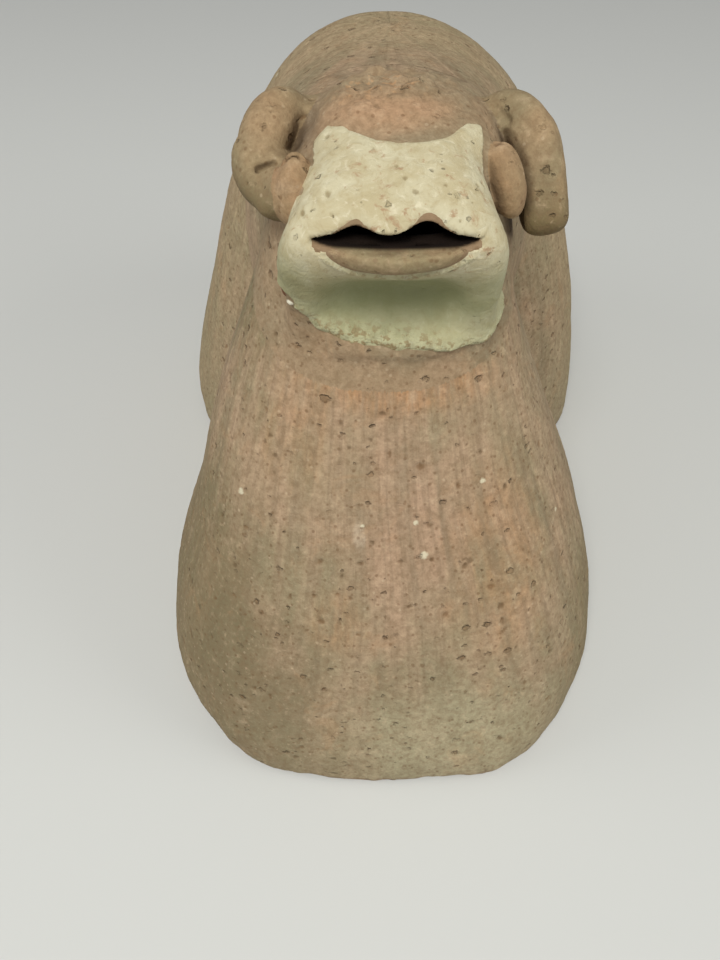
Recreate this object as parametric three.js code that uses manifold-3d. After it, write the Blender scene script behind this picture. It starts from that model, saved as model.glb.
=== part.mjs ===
// Clay ram figurine, hand built from hollow clay forms that are luted together.
// Millimetres, +Z up, the ram faces -Y, origin under the middle of the figure.
import * as THREE from 'three';
import { mergeVertices } from 'three/addons/utils/BufferGeometryUtils.js';
import Module from 'manifold-3d';

const wasm = await Module();
wasm.setup();

// ---- driving dimensions -----------------------------------------------------------
const WALL = 8.0;          // wall of the two body bells
const HEAD_WALL = 6.5;     // wall of the head form
const JOINT = 0.3;         // luted joint between two pieces
const COAT_IN = 0.25;      // underside of the slip coat, from the head's surface
const COAT_OUT = 0.95;     // outside of the slip coat, from the head's surface
const NECK_PLANE_Z = 101;  // height of the neck joint at y = -66
const NECK_PLANE_SLOPE = 0.39;
const MOUTH_HALF = 14.9;   // half the width of the mouth slit
const MOUTH_Z = 138.2;
const MOUTH_BACK = -48;    // the slit runs in to here
const VENT_HALF = 9.5;     // half width of the air passage between the chambers
const VENT_Z = 90;
const VENT_HALF_H = 9.5;
const TRIM = 0.06;         // facets flatter than this are joined

// front bell, chest and neck:  z, centre x, centre y, half width, half depth
const CHEST = [
  [0, -0.7, -54.1, 62.5, 66.4], [4, -0.7, -54.1, 62.8, 66.5], [22, -0.5, -50.3, 60.4, 61.9],
  [41, -0.2, -50.9, 54.6, 53.8], [59, -0.4, -47.6, 48.4, 44], [74, -1.8, -44.7, 43, 36.6],
  [86, -2, -41.8, 38.2, 32.8], [99, -2.2, -38.8, 33.2, 28.8], [112, -1.9, -36.2, 28.6, 25.2],
  [124, -1.2, -34.8, 25, 22.8], [134, -0.8, -34, 20.5, 20], [141, -0.5, -34, 13, 16],
  [143.5, -0.5, -34, 0.01, 12]];
// how square its sections are, and where its face is flattened:  z, power;  z, front y
const CHEST_POWER = [[0, 2.02], [20, 2.28], [45, 2.17], [75, 2.35], [144, 2.35]];
const CHEST_FRONT = [[0, -114.3], [4, -114.2], [22, -108.5], [41, -100.5], [59, -93.5], [74, -88], [86, -87], [144, -150]];
const FLAT = 10;           // rounding between the flattened face and the sides
// rear bell, rump, in the same columns
const RUMP = [
  [0, 2, 48.5, 71.5, 62.5], [4, 2, 48.5, 72, 63], [23, 2.7, 49.2, 69.3, 61.2],
  [41, 3.5, 49.5, 65.2, 58.5], [58, 4, 49.2, 60.6, 55.2], [70, 4, 48.5, 57, 52.5],
  [92, 3.2, 46.2, 48.8, 46.2], [111.5, 2.2, 44.8, 38, 36.8], [122, 1.6, 43.8, 29.2, 27.8],
  [127.3, 1.2, 43, 22, 21], [131.2, 1, 43, 13, 13], [132.8, 1, 43, 0.01, 3]];
const RUMP_POWER = [[0, 2.15], [133, 2.15]];
// back saddle, sections across y:  y, centre x, half width, top z, bottom z
const SADDLE = [
  [-45, -1, 19, 143, 70], [-30, -1, 27, 144.5, 60], [-15, -0.5, 33.5, 143, 54],
  [0, 0, 37.5, 139.8, 50], [20, 1, 40, 135.5, 46], [45, 1.5, 41, 130.5, 40]];
// head, sections across y:  y, centre x, half width, top z
const HEAD = [
  [-70, -0.8, 22.6, 141.4], [-64, -0.8, 22.2, 143.6], [-58, -0.6, 20.6, 145.6],
  [-50, -0.4, 19.3, 147.2], [-42, 1.1, 22.1, 148.2], [-32, 1.7, 23.2, 147.8],
  [-22, 1.1, 20.9, 145.2], [-12, 0.5, 15.8, 140]];
// profile of the face, z, front y: in the middle, with the throat scooped out under the lip, and beside it
const FACE_MID = [[96, -57], [101, -58.5], [106, -61.2], [109, -63.8], [111, -63.6], [113, -61.6], [115.5, -59.8],
  [118, -59.2], [121.5, -60], [125, -62.4], [128.5, -65.6], [131.5, -68.6], [134.5, -70.2], [137, -70.4],
  [140, -69.2], [146, -66.3], [152, -62]];
const FACE_SIDE = [[96, -57], [101, -58.5], [106, -61], [112, -62.6], [118, -64], [125, -66.4], [131, -68.8],
  [137, -70.2], [141, -69.2], [146, -66.5], [152, -62]];
const THROAT = { centre: [-0.3, -71.5, 119], radii: [17, 12.4, 8.6], n: 2.6 };
// troughs pressed in between the forehead and the horns:  from, to, radius
const TROUGHS = [[[-19.2, -22, 150], [-19.8, -48, 144.6], 3.2], [[19.8, -24, 150.4], [20.8, -47, 145.6], 1.6]];
// horns:  x, y, z, half thickness, half height, and the direction of the height
// left and right are the ram's own, so its left is at +X
const HORN_LEFT = [
  [19.5, -26, 138.5, 5.4, 6.2, 0, -0.8, 0.5], [24.6, -29.2, 141, 5, 6.7, 0, -0.8, 0.5],
  [28, -33.8, 139.1, 4.9, 7, 0, -0.9, 0.2], [29.6, -38, 133.8, 5, 7.2, 0, -1, 0],
  [30.9, -41.5, 128.3, 4.7, 6.8, 0, -1, -0.1]];
const HORN_RIGHT = [
  [-18, -27, 138.5, 5.5, 6.2, 0, -0.8, 0.5], [-23.2, -29, 141.4, 5, 6.6, 0, -0.8, 0.5],
  [-25.6, -34, 141, 4.9, 6.8, 0, -0.9, 0.2], [-26.5, -39.2, 138.3, 4.9, 6.2, 0, -1, 0],
  [-25.4, -44.6, 137, 4.5, 5.4, 0, -0.95, -0.3], [-23, -49.4, 136.2, 3.9, 4.4, 0, -0.85, -0.55]];
const TAIL = [
  [2, 90, 90, 6.5, 5, 0, 0.6, 0.8], [3, 98.5, 78, 6.2, 5, 0, 0.8, 0.5],
  [4, 105, 64, 5.8, 4.6, 0, 1, 0.3], [4.5, 109.3, 50, 5, 4, 0, 1, 0.2],
  [4.2, 111.6, 39, 4, 3.4, 0, 1, 0.15]];
const EAR_LEFT = { centre: [21.3, -47.4, 138], radii: [3.4, 4.4, 6.9], turn: -17, lean: -22 };
const EAR_RIGHT = { centre: [-19.6, -51.4, 139.2], radii: [3.1, 4.8, 6.0], turn: 8, lean: -29 };
// the lip is bent: its ends lie further back and higher
const LIP = { centre: [-0.5, -66.7, 135.2], radii: [13.8, 5.1, 3.4], bend: [0.9, 2.2] };
const CROWN = { centre: [-0.5, -33, 146.2], radii: [12.5, 10.5, 3.9] };

// ---- helpers -------------------------------------------------------------------------
// smooth curve through a table column
function curve(rows, col, key = 0) {
  const x = rows.map((r) => r[key]), y = rows.map((r) => r[col]), n = x.length;
  const h = [], d = [], m = new Array(n).fill(0);
  for (let i = 0; i < n - 1; i++) { h[i] = x[i + 1] - x[i]; d[i] = (y[i + 1] - y[i]) / h[i]; }
  for (let i = 1; i < n - 1; i++) {
    if (d[i - 1] * d[i] > 0) {
      const w1 = 2 * h[i] + h[i - 1], w2 = h[i] + 2 * h[i - 1];
      m[i] = (w1 + w2) / (w1 / d[i - 1] + w2 / d[i]);
    }
  }
  m[0] = d[0]; m[n - 1] = d[n - 2];
  return (t) => {
    const u = Math.min(Math.max(t, x[0]), x[n - 1]);
    let k = 0;
    while (k < n - 2 && u > x[k + 1]) k++;
    const s = (u - x[k]) / h[k];
    return (1 + 2 * s) * (1 - s) ** 2 * y[k] + s * (1 - s) ** 2 * h[k] * m[k]
      + s * s * (3 - 2 * s) * y[k + 1] + s * s * (s - 1) * h[k] * m[k + 1];
  };
}

// closed surface from a three.js geometry: shared vertices merged, faces out
function toSolid(geometry) {
  geometry.deleteAttribute('normal');
  geometry.deleteAttribute('uv');
  let g = mergeVertices(geometry, 1e-4);
  const p = g.getAttribute('position').array;
  let t = Array.from(g.getIndex().array);
  const keep = [];
  for (let i = 0; i < t.length; i += 3) {
    if (t[i] !== t[i + 1] && t[i + 1] !== t[i + 2] && t[i] !== t[i + 2]) keep.push(t[i], t[i + 1], t[i + 2]);
  }
  t = keep;
  let v = 0;
  for (let i = 0; i < t.length; i += 3) {
    const [a, b, c] = [t[i] * 3, t[i + 1] * 3, t[i + 2] * 3];
    v += p[a] * (p[b + 1] * p[c + 2] - p[b + 2] * p[c + 1])
      - p[a + 1] * (p[b] * p[c + 2] - p[b + 2] * p[c])
      + p[a + 2] * (p[b] * p[c + 1] - p[b + 1] * p[c]);
  }
  if (v < 0) for (let i = 0; i < t.length; i += 3) [t[i + 1], t[i + 2]] = [t[i + 2], t[i + 1]];
  return new wasm.Manifold(new wasm.Mesh({
    numProp: 3, vertProperties: Float32Array.from(p), triVerts: Uint32Array.from(t),
  }));
}

// a cylinder whose rings are moved onto sections: place(v, angle, r) gives the point
function loft(sides, spans, place) {
  const g = new THREE.CylinderGeometry(1, 1, 1, sides, spans, false);
  const p = g.getAttribute('position');
  for (let i = 0; i < p.count; i++) {
    const x = p.getX(i), y = p.getY(i), z = p.getZ(i);
    const q = place(y + 0.5, Math.round(Math.atan2(x, z) * 1e6) / 1e6, Math.round(Math.hypot(x, z) * 1e4) / 1e4);
    p.setXYZ(i, q[0], q[1], q[2]);
  }
  return toSolid(g);
}

const power = (c, e) => Math.sign(c) * Math.abs(c) ** e;

// a bell, its surface moved out by grow along its own slope; foot is where it is cut below
function bell(table, powers, flat, grow, sides, spans, foot = 0) {
  const [cx, cy, a, b] = [1, 2, 3, 4].map((k) => curve(table, k));
  const n = curve(powers, 1), front = flat && curve(flat, 1);
  const zt = table[table.length - 1][0];
  const rings = [];
  const count = 240;
  for (let i = 0; i <= count; i++) {
    const z = zt * i / count;
    const e = 0.2;
    const z0 = Math.max(0, z - e), z1 = Math.min(zt, z + e);
    const slope = (a(z1) - a(z0)) / (z1 - z0);
    const l = Math.hypot(1, slope);
    const zz = z + grow * (-slope / l);
    const half = a(z) + grow / l, depth = b(z) + grow / l;
    if (half > 1.2 && depth > 1.2 && (rings.length === 0 || zz > rings[rings.length - 1].z + 1e-3)) {
      rings.push({ z: zz, cx: cx(z), cy: cy(z), a: half, b: depth, n: n(z), f: (front ? front(z) : -500) - grow });
    }
  }
  rings.push({ ...rings[rings.length - 1], z: rings[rings.length - 1].z + 0.05, a: 0.9, b: 0.9 });
  rings[0] = { ...rings[0], z: foot };
  // spread the rings evenly along the profile
  const s = [0];
  for (let i = 1; i < rings.length; i++) s.push(s[i - 1] + Math.hypot(rings[i].z - rings[i - 1].z, rings[i].a - rings[i - 1].a));
  const at = (v) => {
    const u = v * s[s.length - 1];
    let k = 0;
    while (k < s.length - 2 && u > s[k + 1]) k++;
    const f = Math.min(1, Math.max(0, (u - s[k]) / (s[k + 1] - s[k] || 1)));
    const A = rings[k], B = rings[k + 1], mix = (q) => A[q] + (B[q] - A[q]) * f;
    return { z: mix('z'), cx: mix('cx'), cy: mix('cy'), a: mix('a'), b: mix('b'), n: mix('n'), f: mix('f') };
  };
  return loft(sides, spans, (v, t, r) => {
    const q = at(v), e = 2 / q.n;
    let y = q.cy + q.b * power(Math.sin(t), e);
    const over = q.f - y;                    // how far this point lies in front of the flattened face
    if (over > -FLAT) y = over < FLAT ? y + (over + FLAT) ** 2 / (4 * FLAT) : q.f;
    return [q.cx + r * q.a * power(Math.cos(t), e), q.cy + r * (y - q.cy), q.z];
  });
}

// distance to a bell's surface, near enough for blending
function bellField(table, powers) {
  const [cx, cy, a, b] = [1, 2, 3, 4].map((k) => curve(table, k));
  const n = curve(powers, 1);
  const zt = table[table.length - 1][0];
  const line = [];
  for (let i = 0; i <= 90; i++) line.push([a(zt * i / 90), zt * i / 90]);
  line.push([0, zt]);
  return (x, y, z) => {
    const zc = Math.min(Math.max(z, 0), zt - 0.3);
    const k = n(zc);
    const u = Math.abs(x - cx(zc)), v = Math.abs(y - cy(zc)) * a(zc) / b(zc);
    const s = (u ** k + v ** k) ** (1 / k);
    let best = 1e9, inside = z < zt && s < a(z);
    for (let i = 0; i < line.length - 1; i++) {
      const [r0, z0] = line[i], [r1, z1] = line[i + 1];
      const dr = r1 - r0, dz = z1 - z0, t = Math.min(1, Math.max(0, ((s - r0) * dr + (z - z0) * dz) / (dr * dr + dz * dz)));
      best = Math.min(best, Math.hypot(s - r0 - t * dr, z - z0 - t * dz));
    }
    return inside ? -best : best;
  };
}

const smin = (a, b, k) => Math.min(a, b) - Math.max(k - Math.abs(a - b), 0) ** 2 / k * 0.25;
const smax = (a, b, k) => -smin(-a, -b, k);

const clamp = (v, a, b) => Math.min(Math.max(v, a), b);
const step = (a, b, v) => { const t = clamp((v - a) / (b - a), 0, 1); return t * t * (3 - 2 * t); };
function capsule(x, y, z, [a, b, r]) {
  const p = new THREE.Vector3(x, y, z), q = new THREE.Vector3();
  new THREE.Line3(new THREE.Vector3(...a), new THREE.Vector3(...b)).closestPointToPoint(p, true, q);
  return p.distanceTo(q) - r;
}
function throat(x, y, z) {
  const q = [x, y, z].map((v, k) => v - THROAT.centre[k]);
  const rho = q.reduce((t, v, k) => t + Math.abs(v / THROAT.radii[k]) ** THROAT.n, 0) ** (1 / THROAT.n);
  return rho > 1e-3 ? Math.hypot(...q) * (1 - 1 / rho) : -8;
}
const head = { cx: curve(HEAD, 1), w: curve(HEAD, 2), top: curve(HEAD, 3), mid: curve(FACE_MID, 1), side: curve(FACE_SIDE, 1) };
function headField(x, y, z) {
  const cx = head.cx(y), zt = head.top(y), zb = 100, zc = (zt + zb) / 2, hh = (zt - zb) / 2, n = 4;
  const w = head.w(y) * (1 - 0.13 * clamp((z - 126) / 22, -0.2, 1));
  const rho = ((Math.abs(x - cx) / w) ** n + (Math.abs(z - zc) / hh) ** n) ** (1 / n);
  const r = Math.hypot(x - cx, z - zc);
  let d = r * (1 - 1 / Math.max(rho, 1e-2));
  const t = step(8, 17.5, Math.abs(x + 0.3));
  const f = head.mid(z) * (1 - t) + head.side(z) * t + 0.0075 * (x - cx) ** 2;
  d = smax(smax(d, f - y, 4.5), y + 12, 7);
  for (const c of TROUGHS) d = smax(d, -capsule(x, y, z, c), 2.5);
  return d;
}
const chestField = bellField(CHEST, CHEST_POWER);
const headForm = (x, y, z) => smax(smin(chestField(x, y, z), headField(x, y, z), 5), -throat(x, y, z), 2.5);

// a ball whose vertices are moved along their rays onto the surface field = level
function cast(centre, field, level, across, down, reach = 90) {
  const g = new THREE.SphereGeometry(1, across, down);
  const p = g.getAttribute('position');
  const seen = new Map();
  for (let i = 0; i < p.count; i++) {
    const dx = p.getZ(i), dy = p.getX(i), dz = p.getY(i);
    const key = `${dx.toFixed(5)},${dy.toFixed(5)},${dz.toFixed(5)}`;
    if (!seen.has(key)) {
      let lo = 1, hi = reach;
      // first crossing outwards
      for (let r = 2; r < reach; r += 2) {
        if (field(centre[0] + dx * r, centre[1] + dy * r, centre[2] + dz * r) > level) { hi = r; break; }
        lo = r;
      }
      for (let k = 0; k < 24; k++) {
        const m = (lo + hi) / 2;
        if (field(centre[0] + dx * m, centre[1] + dy * m, centre[2] + dz * m) > level) hi = m; else lo = m;
      }
      seen.set(key, lo);
    }
    const r = seen.get(key);
    p.setXYZ(i, centre[0] + dx * r, centre[1] + dy * r, centre[2] + dz * r);
  }
  return toSolid(g);
}

// a bar swept along a smooth path, with rounded far end
function sweep(rows, n, grow, sides, spans, cap = 4) {
  const path = new THREE.CatmullRomCurve3(rows.map((r) => new THREE.Vector3(r[0], r[1], r[2])), false, 'catmullrom', 0.5);
  const col = (c, v) => {
    const u = v * (rows.length - 1), i = Math.min(rows.length - 2, Math.floor(u)), f = u - i;
    return rows[i][c] + (rows[i + 1][c] - rows[i][c]) * f;
  };
  const frame = (v) => {
    const c = path.getPoint(v), t = path.getTangent(v).normalize();
    const up = new THREE.Vector3(col(5, v), col(6, v), col(7, v));
    up.addScaledVector(t, -up.dot(t)).normalize();
    return { c, t, up, side: new THREE.Vector3().crossVectors(t, up), a: col(3, v) + grow, b: col(4, v) + grow };
  };
  return loft(sides, spans, (v, t, r) => {
    const ring = v * spans;
    let u, shrink = 1, ahead = 0;
    const body = spans - cap;
    if (ring <= body) u = ring / body;
    else {
      u = 1;
      const k = (ring - body) / cap, ang = k * Math.PI / 2 * 0.96;
      shrink = Math.cos(ang); ahead = Math.sin(ang);
    }
    const q = frame(u), e = 2 / n;
    const s = r * q.a * power(Math.cos(t), e) * shrink, h = r * q.b * power(Math.sin(t), e) * shrink;
    const l = ahead * Math.min(q.a, q.b);
    return q.c.clone().addScaledVector(q.side, s).addScaledVector(q.up, h).addScaledVector(q.t, l).toArray();
  });
}

function lump({ centre, radii, turn = 0, lean = 0, bend = [0, 0] }, grow, across, down) {
  const g = new THREE.SphereGeometry(1, across, down);
  const m = new THREE.Matrix4().makeRotationY(turn * Math.PI / 180)
    .multiply(new THREE.Matrix4().makeRotationX(lean * Math.PI / 180))
    .scale(new THREE.Vector3(radii[0] + grow, radii[1] + grow, radii[2] + grow));
  g.applyMatrix4(m);
  const p = g.getAttribute('position');
  for (let i = 0; i < p.count; i++) {
    const q = (p.getX(i) / 14.5) ** 2;
    p.setXYZ(i, p.getX(i), p.getY(i) + bend[0] * q, p.getZ(i) + bend[1] * q);
  }
  g.translate(...centre);
  return toSolid(g);
}

// prism from an outline in x-z, running along y
function prismXZ(outline, y0, y1) {
  const g = new THREE.ExtrudeGeometry(new THREE.Shape(outline.map((q) => new THREE.Vector2(...q))), { depth: y1 - y0, bevelEnabled: false });
  g.rotateX(Math.PI / 2);
  g.translate(0, y1, 0);
  return toSolid(g);
}
// prism from an outline in x-y, running along z
function prismXY(outline, z0, z1) {
  const g = new THREE.ExtrudeGeometry(new THREE.Shape(outline.map((q) => new THREE.Vector2(...q))), { depth: z1 - z0, bevelEnabled: false });
  g.translate(0, 0, z0);
  return toSolid(g);
}
// half space on one side of the neck joint, as a large wedge
function neckSide(above) {
  const z = (y) => NECK_PLANE_Z + (y + 66) * NECK_PLANE_SLOPE + (above ? 1 : -1) * JOINT * 0.55;
  const s = new THREE.Shape();
  const far = above ? 260 : -60;
  s.moveTo(-140, z(-140)); s.lineTo(60, z(60)); s.lineTo(60, far); s.lineTo(-140, far); s.closePath();
  const g = new THREE.ExtrudeGeometry(s, { depth: 260, bevelEnabled: false });
  // shape x is the model's y, shape y its z, depth its x
  g.applyMatrix4(new THREE.Matrix4().makeBasis(new THREE.Vector3(0, 1, 0), new THREE.Vector3(0, 0, 1), new THREE.Vector3(1, 0, 0)));
  g.translate(-130, 0, 0);
  return toSolid(g);
}
const largest = (solid) => solid.decompose().sort((p, q) => q.volume() - p.volume())[0];

// ---- body ------------------------------------------------------------------------------
const ventOval = () => {
  const g = new THREE.CylinderGeometry(1, 1, 60, 20, 1, false);
  g.scale(VENT_HALF, 1, VENT_HALF_H);
  g.translate(0, 0, VENT_Z);
  return g;
};
const vent = toSolid(ventOval());

const chestFull = bell(CHEST, CHEST_POWER, CHEST_FRONT, 0, 56, 20);
const chestGrown = bell(CHEST, CHEST_POWER, CHEST_FRONT, JOINT, 56, 20, -10);
const chestHollow = bell(CHEST, CHEST_POWER, CHEST_FRONT, -WALL, 36, 12, -10);
const headHollow = cast([-0.5, -40, 122], headForm, -HEAD_WALL, 22, 14);
const headOuter = cast([-0.5, -40, 122], headForm, 0, 48, 32);
const headGrown = cast([-0.5, -40, 122], headForm, JOINT, 48, 32);
const below = neckSide(false), aboveNeck = neckSide(true);

let chest = chestFull.intersect(below).subtract(chestHollow).subtract(vent);
let headShell = headOuter.intersect(aboveNeck).subtract(headHollow).subtract(chestHollow);

const rumpFull = bell(RUMP, RUMP_POWER, null, 0, 48, 20);
const rumpGrown = bell(RUMP, RUMP_POWER, null, JOINT, 48, 20, -10);
const rumpHollow = bell(RUMP, RUMP_POWER, null, -WALL, 32, 12, -10);
let rump = largest(rumpFull.subtract(rumpHollow).subtract(chestGrown).subtract(vent));

const sad = { cx: curve(SADDLE, 1), w: curve(SADDLE, 2), top: curve(SADDLE, 3), foot: curve(SADDLE, 4) };
function saddleLoft(grow, sides, spans, toFloor) {
  return loft(sides, spans, (v, t, r) => {
    const y = 45 - 90 * v, zt = sad.top(y) + grow, zb = sad.foot(y) - grow;
    const zc = (zt + zb) / 2, hh = (zt - zb) / 2, w = sad.w(y) + grow, e = 2 / 2.3;
    const z = zc + r * hh * power(Math.sin(t), e);
    return [sad.cx(y) + r * w * power(Math.cos(t), e), y, toFloor && z < zc - 1e-3 ? z - 40 : z];
  });
}
let saddle = saddleLoft(0, 40, 12, false).subtract(saddleLoft(-WALL, 24, 8, true))
  .subtract(chestGrown).subtract(rumpGrown).subtract(headGrown);
saddle = largest(saddle);

// ---- mouth and lower lip ------------------------------------------------------------------
const arch = (xc) => Math.max(1 - (Math.abs(xc) / MOUTH_HALF) ** 2.2, 0);
const hump = (xc, at, wide) => Math.exp(-(((xc - at) / wide) ** 2));
// grow widens the slit; worn also takes in the two lobes of the upper lip, where the slip has worn off
const mouthOutline = (grow, worn) => {
  const up = [], down = [];
  for (let i = 0; i <= 24; i++) {
    const xc = MOUTH_HALF * (i / 12 - 1), x = xc * (1 + grow / MOUTH_HALF) - 0.5;
    const lobes = worn ? 3.5 * hump(xc, 5.8, 3.4) + 2.9 * hump(xc, -7.7, 3.2) + 1.4 : 2.1 * hump(xc, 5.6, 3.9) + 1.6 * hump(xc, -7.7, 3.5) + 0.9;
    up.push([x, MOUTH_Z + lobes * arch(xc) ** 0.7 + grow + 0.1]);
    down.push([x, MOUTH_Z - 1.1 * arch(xc) ** 0.8 - grow - 0.1]);
  }
  return down.concat(up.reverse());
};
const mouth = prismXZ(mouthOutline(0, false), -92, MOUTH_BACK);
const mouthWorn = prismXZ(mouthOutline(0.5, true), -92, -58);
const lipGrown = lump(LIP, JOINT, 28, 14);
headShell = headShell.subtract(mouth).subtract(lipGrown);
headShell = largest(headShell);
const lip = largest(lump(LIP, 0, 28, 14).subtract(mouth).subtract(headHollow));

// ---- crown, horns, ears, tail ---------------------------------------------------------------
const hornLeft = (grow) => sweep(HORN_LEFT, 2.9, grow, 16, 18);
const hornRight = (grow) => sweep(HORN_RIGHT, 2.5, grow, 16, 20);
const bodyGrown = headGrown.add(chestGrown);
const hl = largest(hornLeft(0).subtract(bodyGrown).subtract(saddleLoft(JOINT, 40, 12, false)));
const hr = largest(hornRight(0).subtract(bodyGrown).subtract(saddleLoft(JOINT, 40, 12, false)));
const el = largest(lump(EAR_LEFT, 0, 16, 12).subtract(bodyGrown).subtract(hornLeft(JOINT)));
const er = largest(lump(EAR_RIGHT, 0, 16, 12).subtract(bodyGrown).subtract(hornRight(JOINT)));
const crown = largest(lump(CROWN, 0, 26, 12).subtract(bodyGrown).subtract(hornLeft(JOINT)).subtract(hornRight(JOINT)).subtract(saddleLoft(JOINT, 40, 12, false)));
const tail = largest(sweep(TAIL, 2.2, 0, 16, 18).subtract(rumpGrown));

// ---- slip coat on the muzzle --------------------------------------------------------------------
const coatSides = prismXZ([[-30, 160], [-30, 124.5], [-24, 122], [-20.5, 118], [-16, 113.8], [-12, 112.2], [-6, 110.9], [0, 110.4],
  [8, 109.7], [14, 108.7], [19, 107.4], [23, 108], [26, 111], [30, 112.5], [30, 160]], -90, -38);
const coatTop = prismXY([[-34, -95], [34, -95], [34, -47], [23, -46.5], [19.5, -44.5], [15.7, -42.2], [11, -45.5], [7.6, -48.2],
  [2.5, -50.2], [-3, -50], [-8, -48], [-12, -43.8], [-15, -42.2], [-18, -48], [-20, -54], [-24, -54.5], [-34, -55]], 90, 170);
const coatOuter = cast([-0.5, -40, 122], headForm, COAT_OUT, 48, 32);
const coatInner = cast([-0.5, -40, 122], headForm, COAT_IN, 48, 32);
let coat = coatOuter.subtract(coatInner).intersect(coatSides).intersect(coatTop).intersect(aboveNeck)
  .subtract(mouthWorn).subtract(lipGrown).subtract(lump(EAR_LEFT, JOINT, 16, 12)).subtract(lump(EAR_RIGHT, JOINT, 16, 12))
  .subtract(hornLeft(JOINT)).subtract(hornRight(JOINT)).subtract(lump(CROWN, JOINT, 26, 12));
coat = largest(coat);

// ---- scene -----------------------------------------------------------------------------------------
const clay = (colour, roughness = 0.92) => new THREE.MeshStandardMaterial({ color: colour, roughness, metalness: 0 });
const pieces = [
  ['chest_bell', chest, clay(0x8f7a70)],
  ['rump_bell', rump, clay(0x8a766c)],
  ['back_saddle', saddle, clay(0x8c776c)],
  ['head_shell', headShell, clay(0x8b766b)],
  ['crown_patch', crown, clay(0x957f73)],
  ['lower_lip', lip, clay(0x83695d)],
  ['horn_left', hl, clay(0x917c71)],
  ['horn_right', hr, clay(0x917c71)],
  ['ear_left', el, clay(0x8b766b)],
  ['ear_right', er, clay(0x8b766b)],
  ['tail', tail, clay(0x8a766c)],
  ['muzzle_slip_coat', coat, clay(0xcdbfa6, 0.85)],
];

const meshes = pieces.map(([name, solid, material]) => {
  const m = solid.simplify(TRIM).getMesh();
  const g = new THREE.BufferGeometry();
  const n = m.numProp, src = m.vertProperties, pos = new Float32Array(src.length / n * 3);
  for (let i = 0; i < src.length / n; i++) for (let k = 0; k < 3; k++) pos[i * 3 + k] = src[i * n + k];
  g.setAttribute('position', new THREE.BufferAttribute(pos, 3));
  g.setIndex(new THREE.BufferAttribute(Uint32Array.from(m.triVerts), 1));
  const mesh = new THREE.Mesh(g, material);
  mesh.name = name;
  return mesh;
});

// origin under the middle of the whole figure
const box = new THREE.Box3();
for (const mesh of meshes) { mesh.geometry.computeBoundingBox(); box.union(mesh.geometry.boundingBox); }
const group = new THREE.Group();
for (const mesh of meshes) {
  mesh.geometry.translate(-(box.min.x + box.max.x) / 2, -(box.min.y + box.max.y) / 2, -box.min.z);
  group.add(mesh);
}

export default group;
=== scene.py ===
"""Clay ram figurine: the looks. Every outer surface is a sculpted closed clay piece, in metres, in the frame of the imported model."""
import bpy, math
import numpy as np
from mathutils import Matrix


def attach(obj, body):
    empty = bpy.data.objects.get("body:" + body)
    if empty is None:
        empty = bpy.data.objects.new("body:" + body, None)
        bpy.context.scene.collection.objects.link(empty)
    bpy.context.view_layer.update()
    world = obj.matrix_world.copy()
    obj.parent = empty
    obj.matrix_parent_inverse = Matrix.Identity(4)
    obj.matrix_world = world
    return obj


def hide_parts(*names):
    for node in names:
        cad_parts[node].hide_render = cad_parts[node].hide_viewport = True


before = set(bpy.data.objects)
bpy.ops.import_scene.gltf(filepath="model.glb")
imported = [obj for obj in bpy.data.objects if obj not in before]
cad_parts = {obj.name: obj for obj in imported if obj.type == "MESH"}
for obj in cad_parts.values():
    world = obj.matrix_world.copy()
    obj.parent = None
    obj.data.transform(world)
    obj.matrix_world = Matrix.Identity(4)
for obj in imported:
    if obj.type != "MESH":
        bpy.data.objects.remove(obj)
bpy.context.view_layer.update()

# The sculpt is worked in millimetres in a modelling frame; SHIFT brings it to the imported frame.
SHIFT = np.array([-2.0554, -0.5057, 0.0])

# =====================================================================================
# curves and distance fields
# =====================================================================================
def pchip(x, y):
    x = np.asarray(x, float); y = np.asarray(y, float)
    h = np.diff(x); d = np.diff(y) / h
    m = np.zeros_like(y)
    for i in range(1, len(x) - 1):
        if d[i-1] * d[i] > 0:
            w1, w2 = 2*h[i] + h[i-1], h[i] + 2*h[i-1]
            m[i] = (w1 + w2) / (w1/d[i-1] + w2/d[i])
    m[0] = d[0]; m[-1] = d[-1]
    def f(t):
        t = np.asarray(t)
        k = np.clip(np.searchsorted(x, t) - 1, 0, len(h) - 1)
        s = np.clip((t - x[k]) / h[k], 0, 1)
        return ((1+2*s)*(1-s)**2*y[k] + s*(1-s)**2*h[k]*m[k] + s*s*(3-2*s)*y[k+1] + s*s*(s-1)*h[k]*m[k+1])
    return f

class Table1:
    """A smooth curve looked up on a fine even grid."""
    def __init__(self, x, y, lo, hi, n=600, soft=0.0):
        g = np.linspace(lo, hi, n); v = pchip(x, y)(g)
        if soft:
            k = max(1, int(round(soft*(n-1)/(hi-lo)))); w = np.exp(-0.5*(np.arange(-3*k, 3*k+1)/k)**2); w /= w.sum()
            a = np.concatenate([2*v[0]-v[3*k:0:-1], v, 2*v[-1]-v[-2:-3*k-2:-1]]); v = np.convolve(a, w, "valid")
        self.v = v.astype(np.float32); self.lo = lo; self.k = (n-1)/(hi-lo); self.n = n
    def __call__(self, t):
        u = np.clip((t - self.lo) * self.k, 0, self.n - 1.001); i = u.astype(np.int32); f = u - i
        return self.v[i]*(1-f) + self.v[i+1]*f

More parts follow.
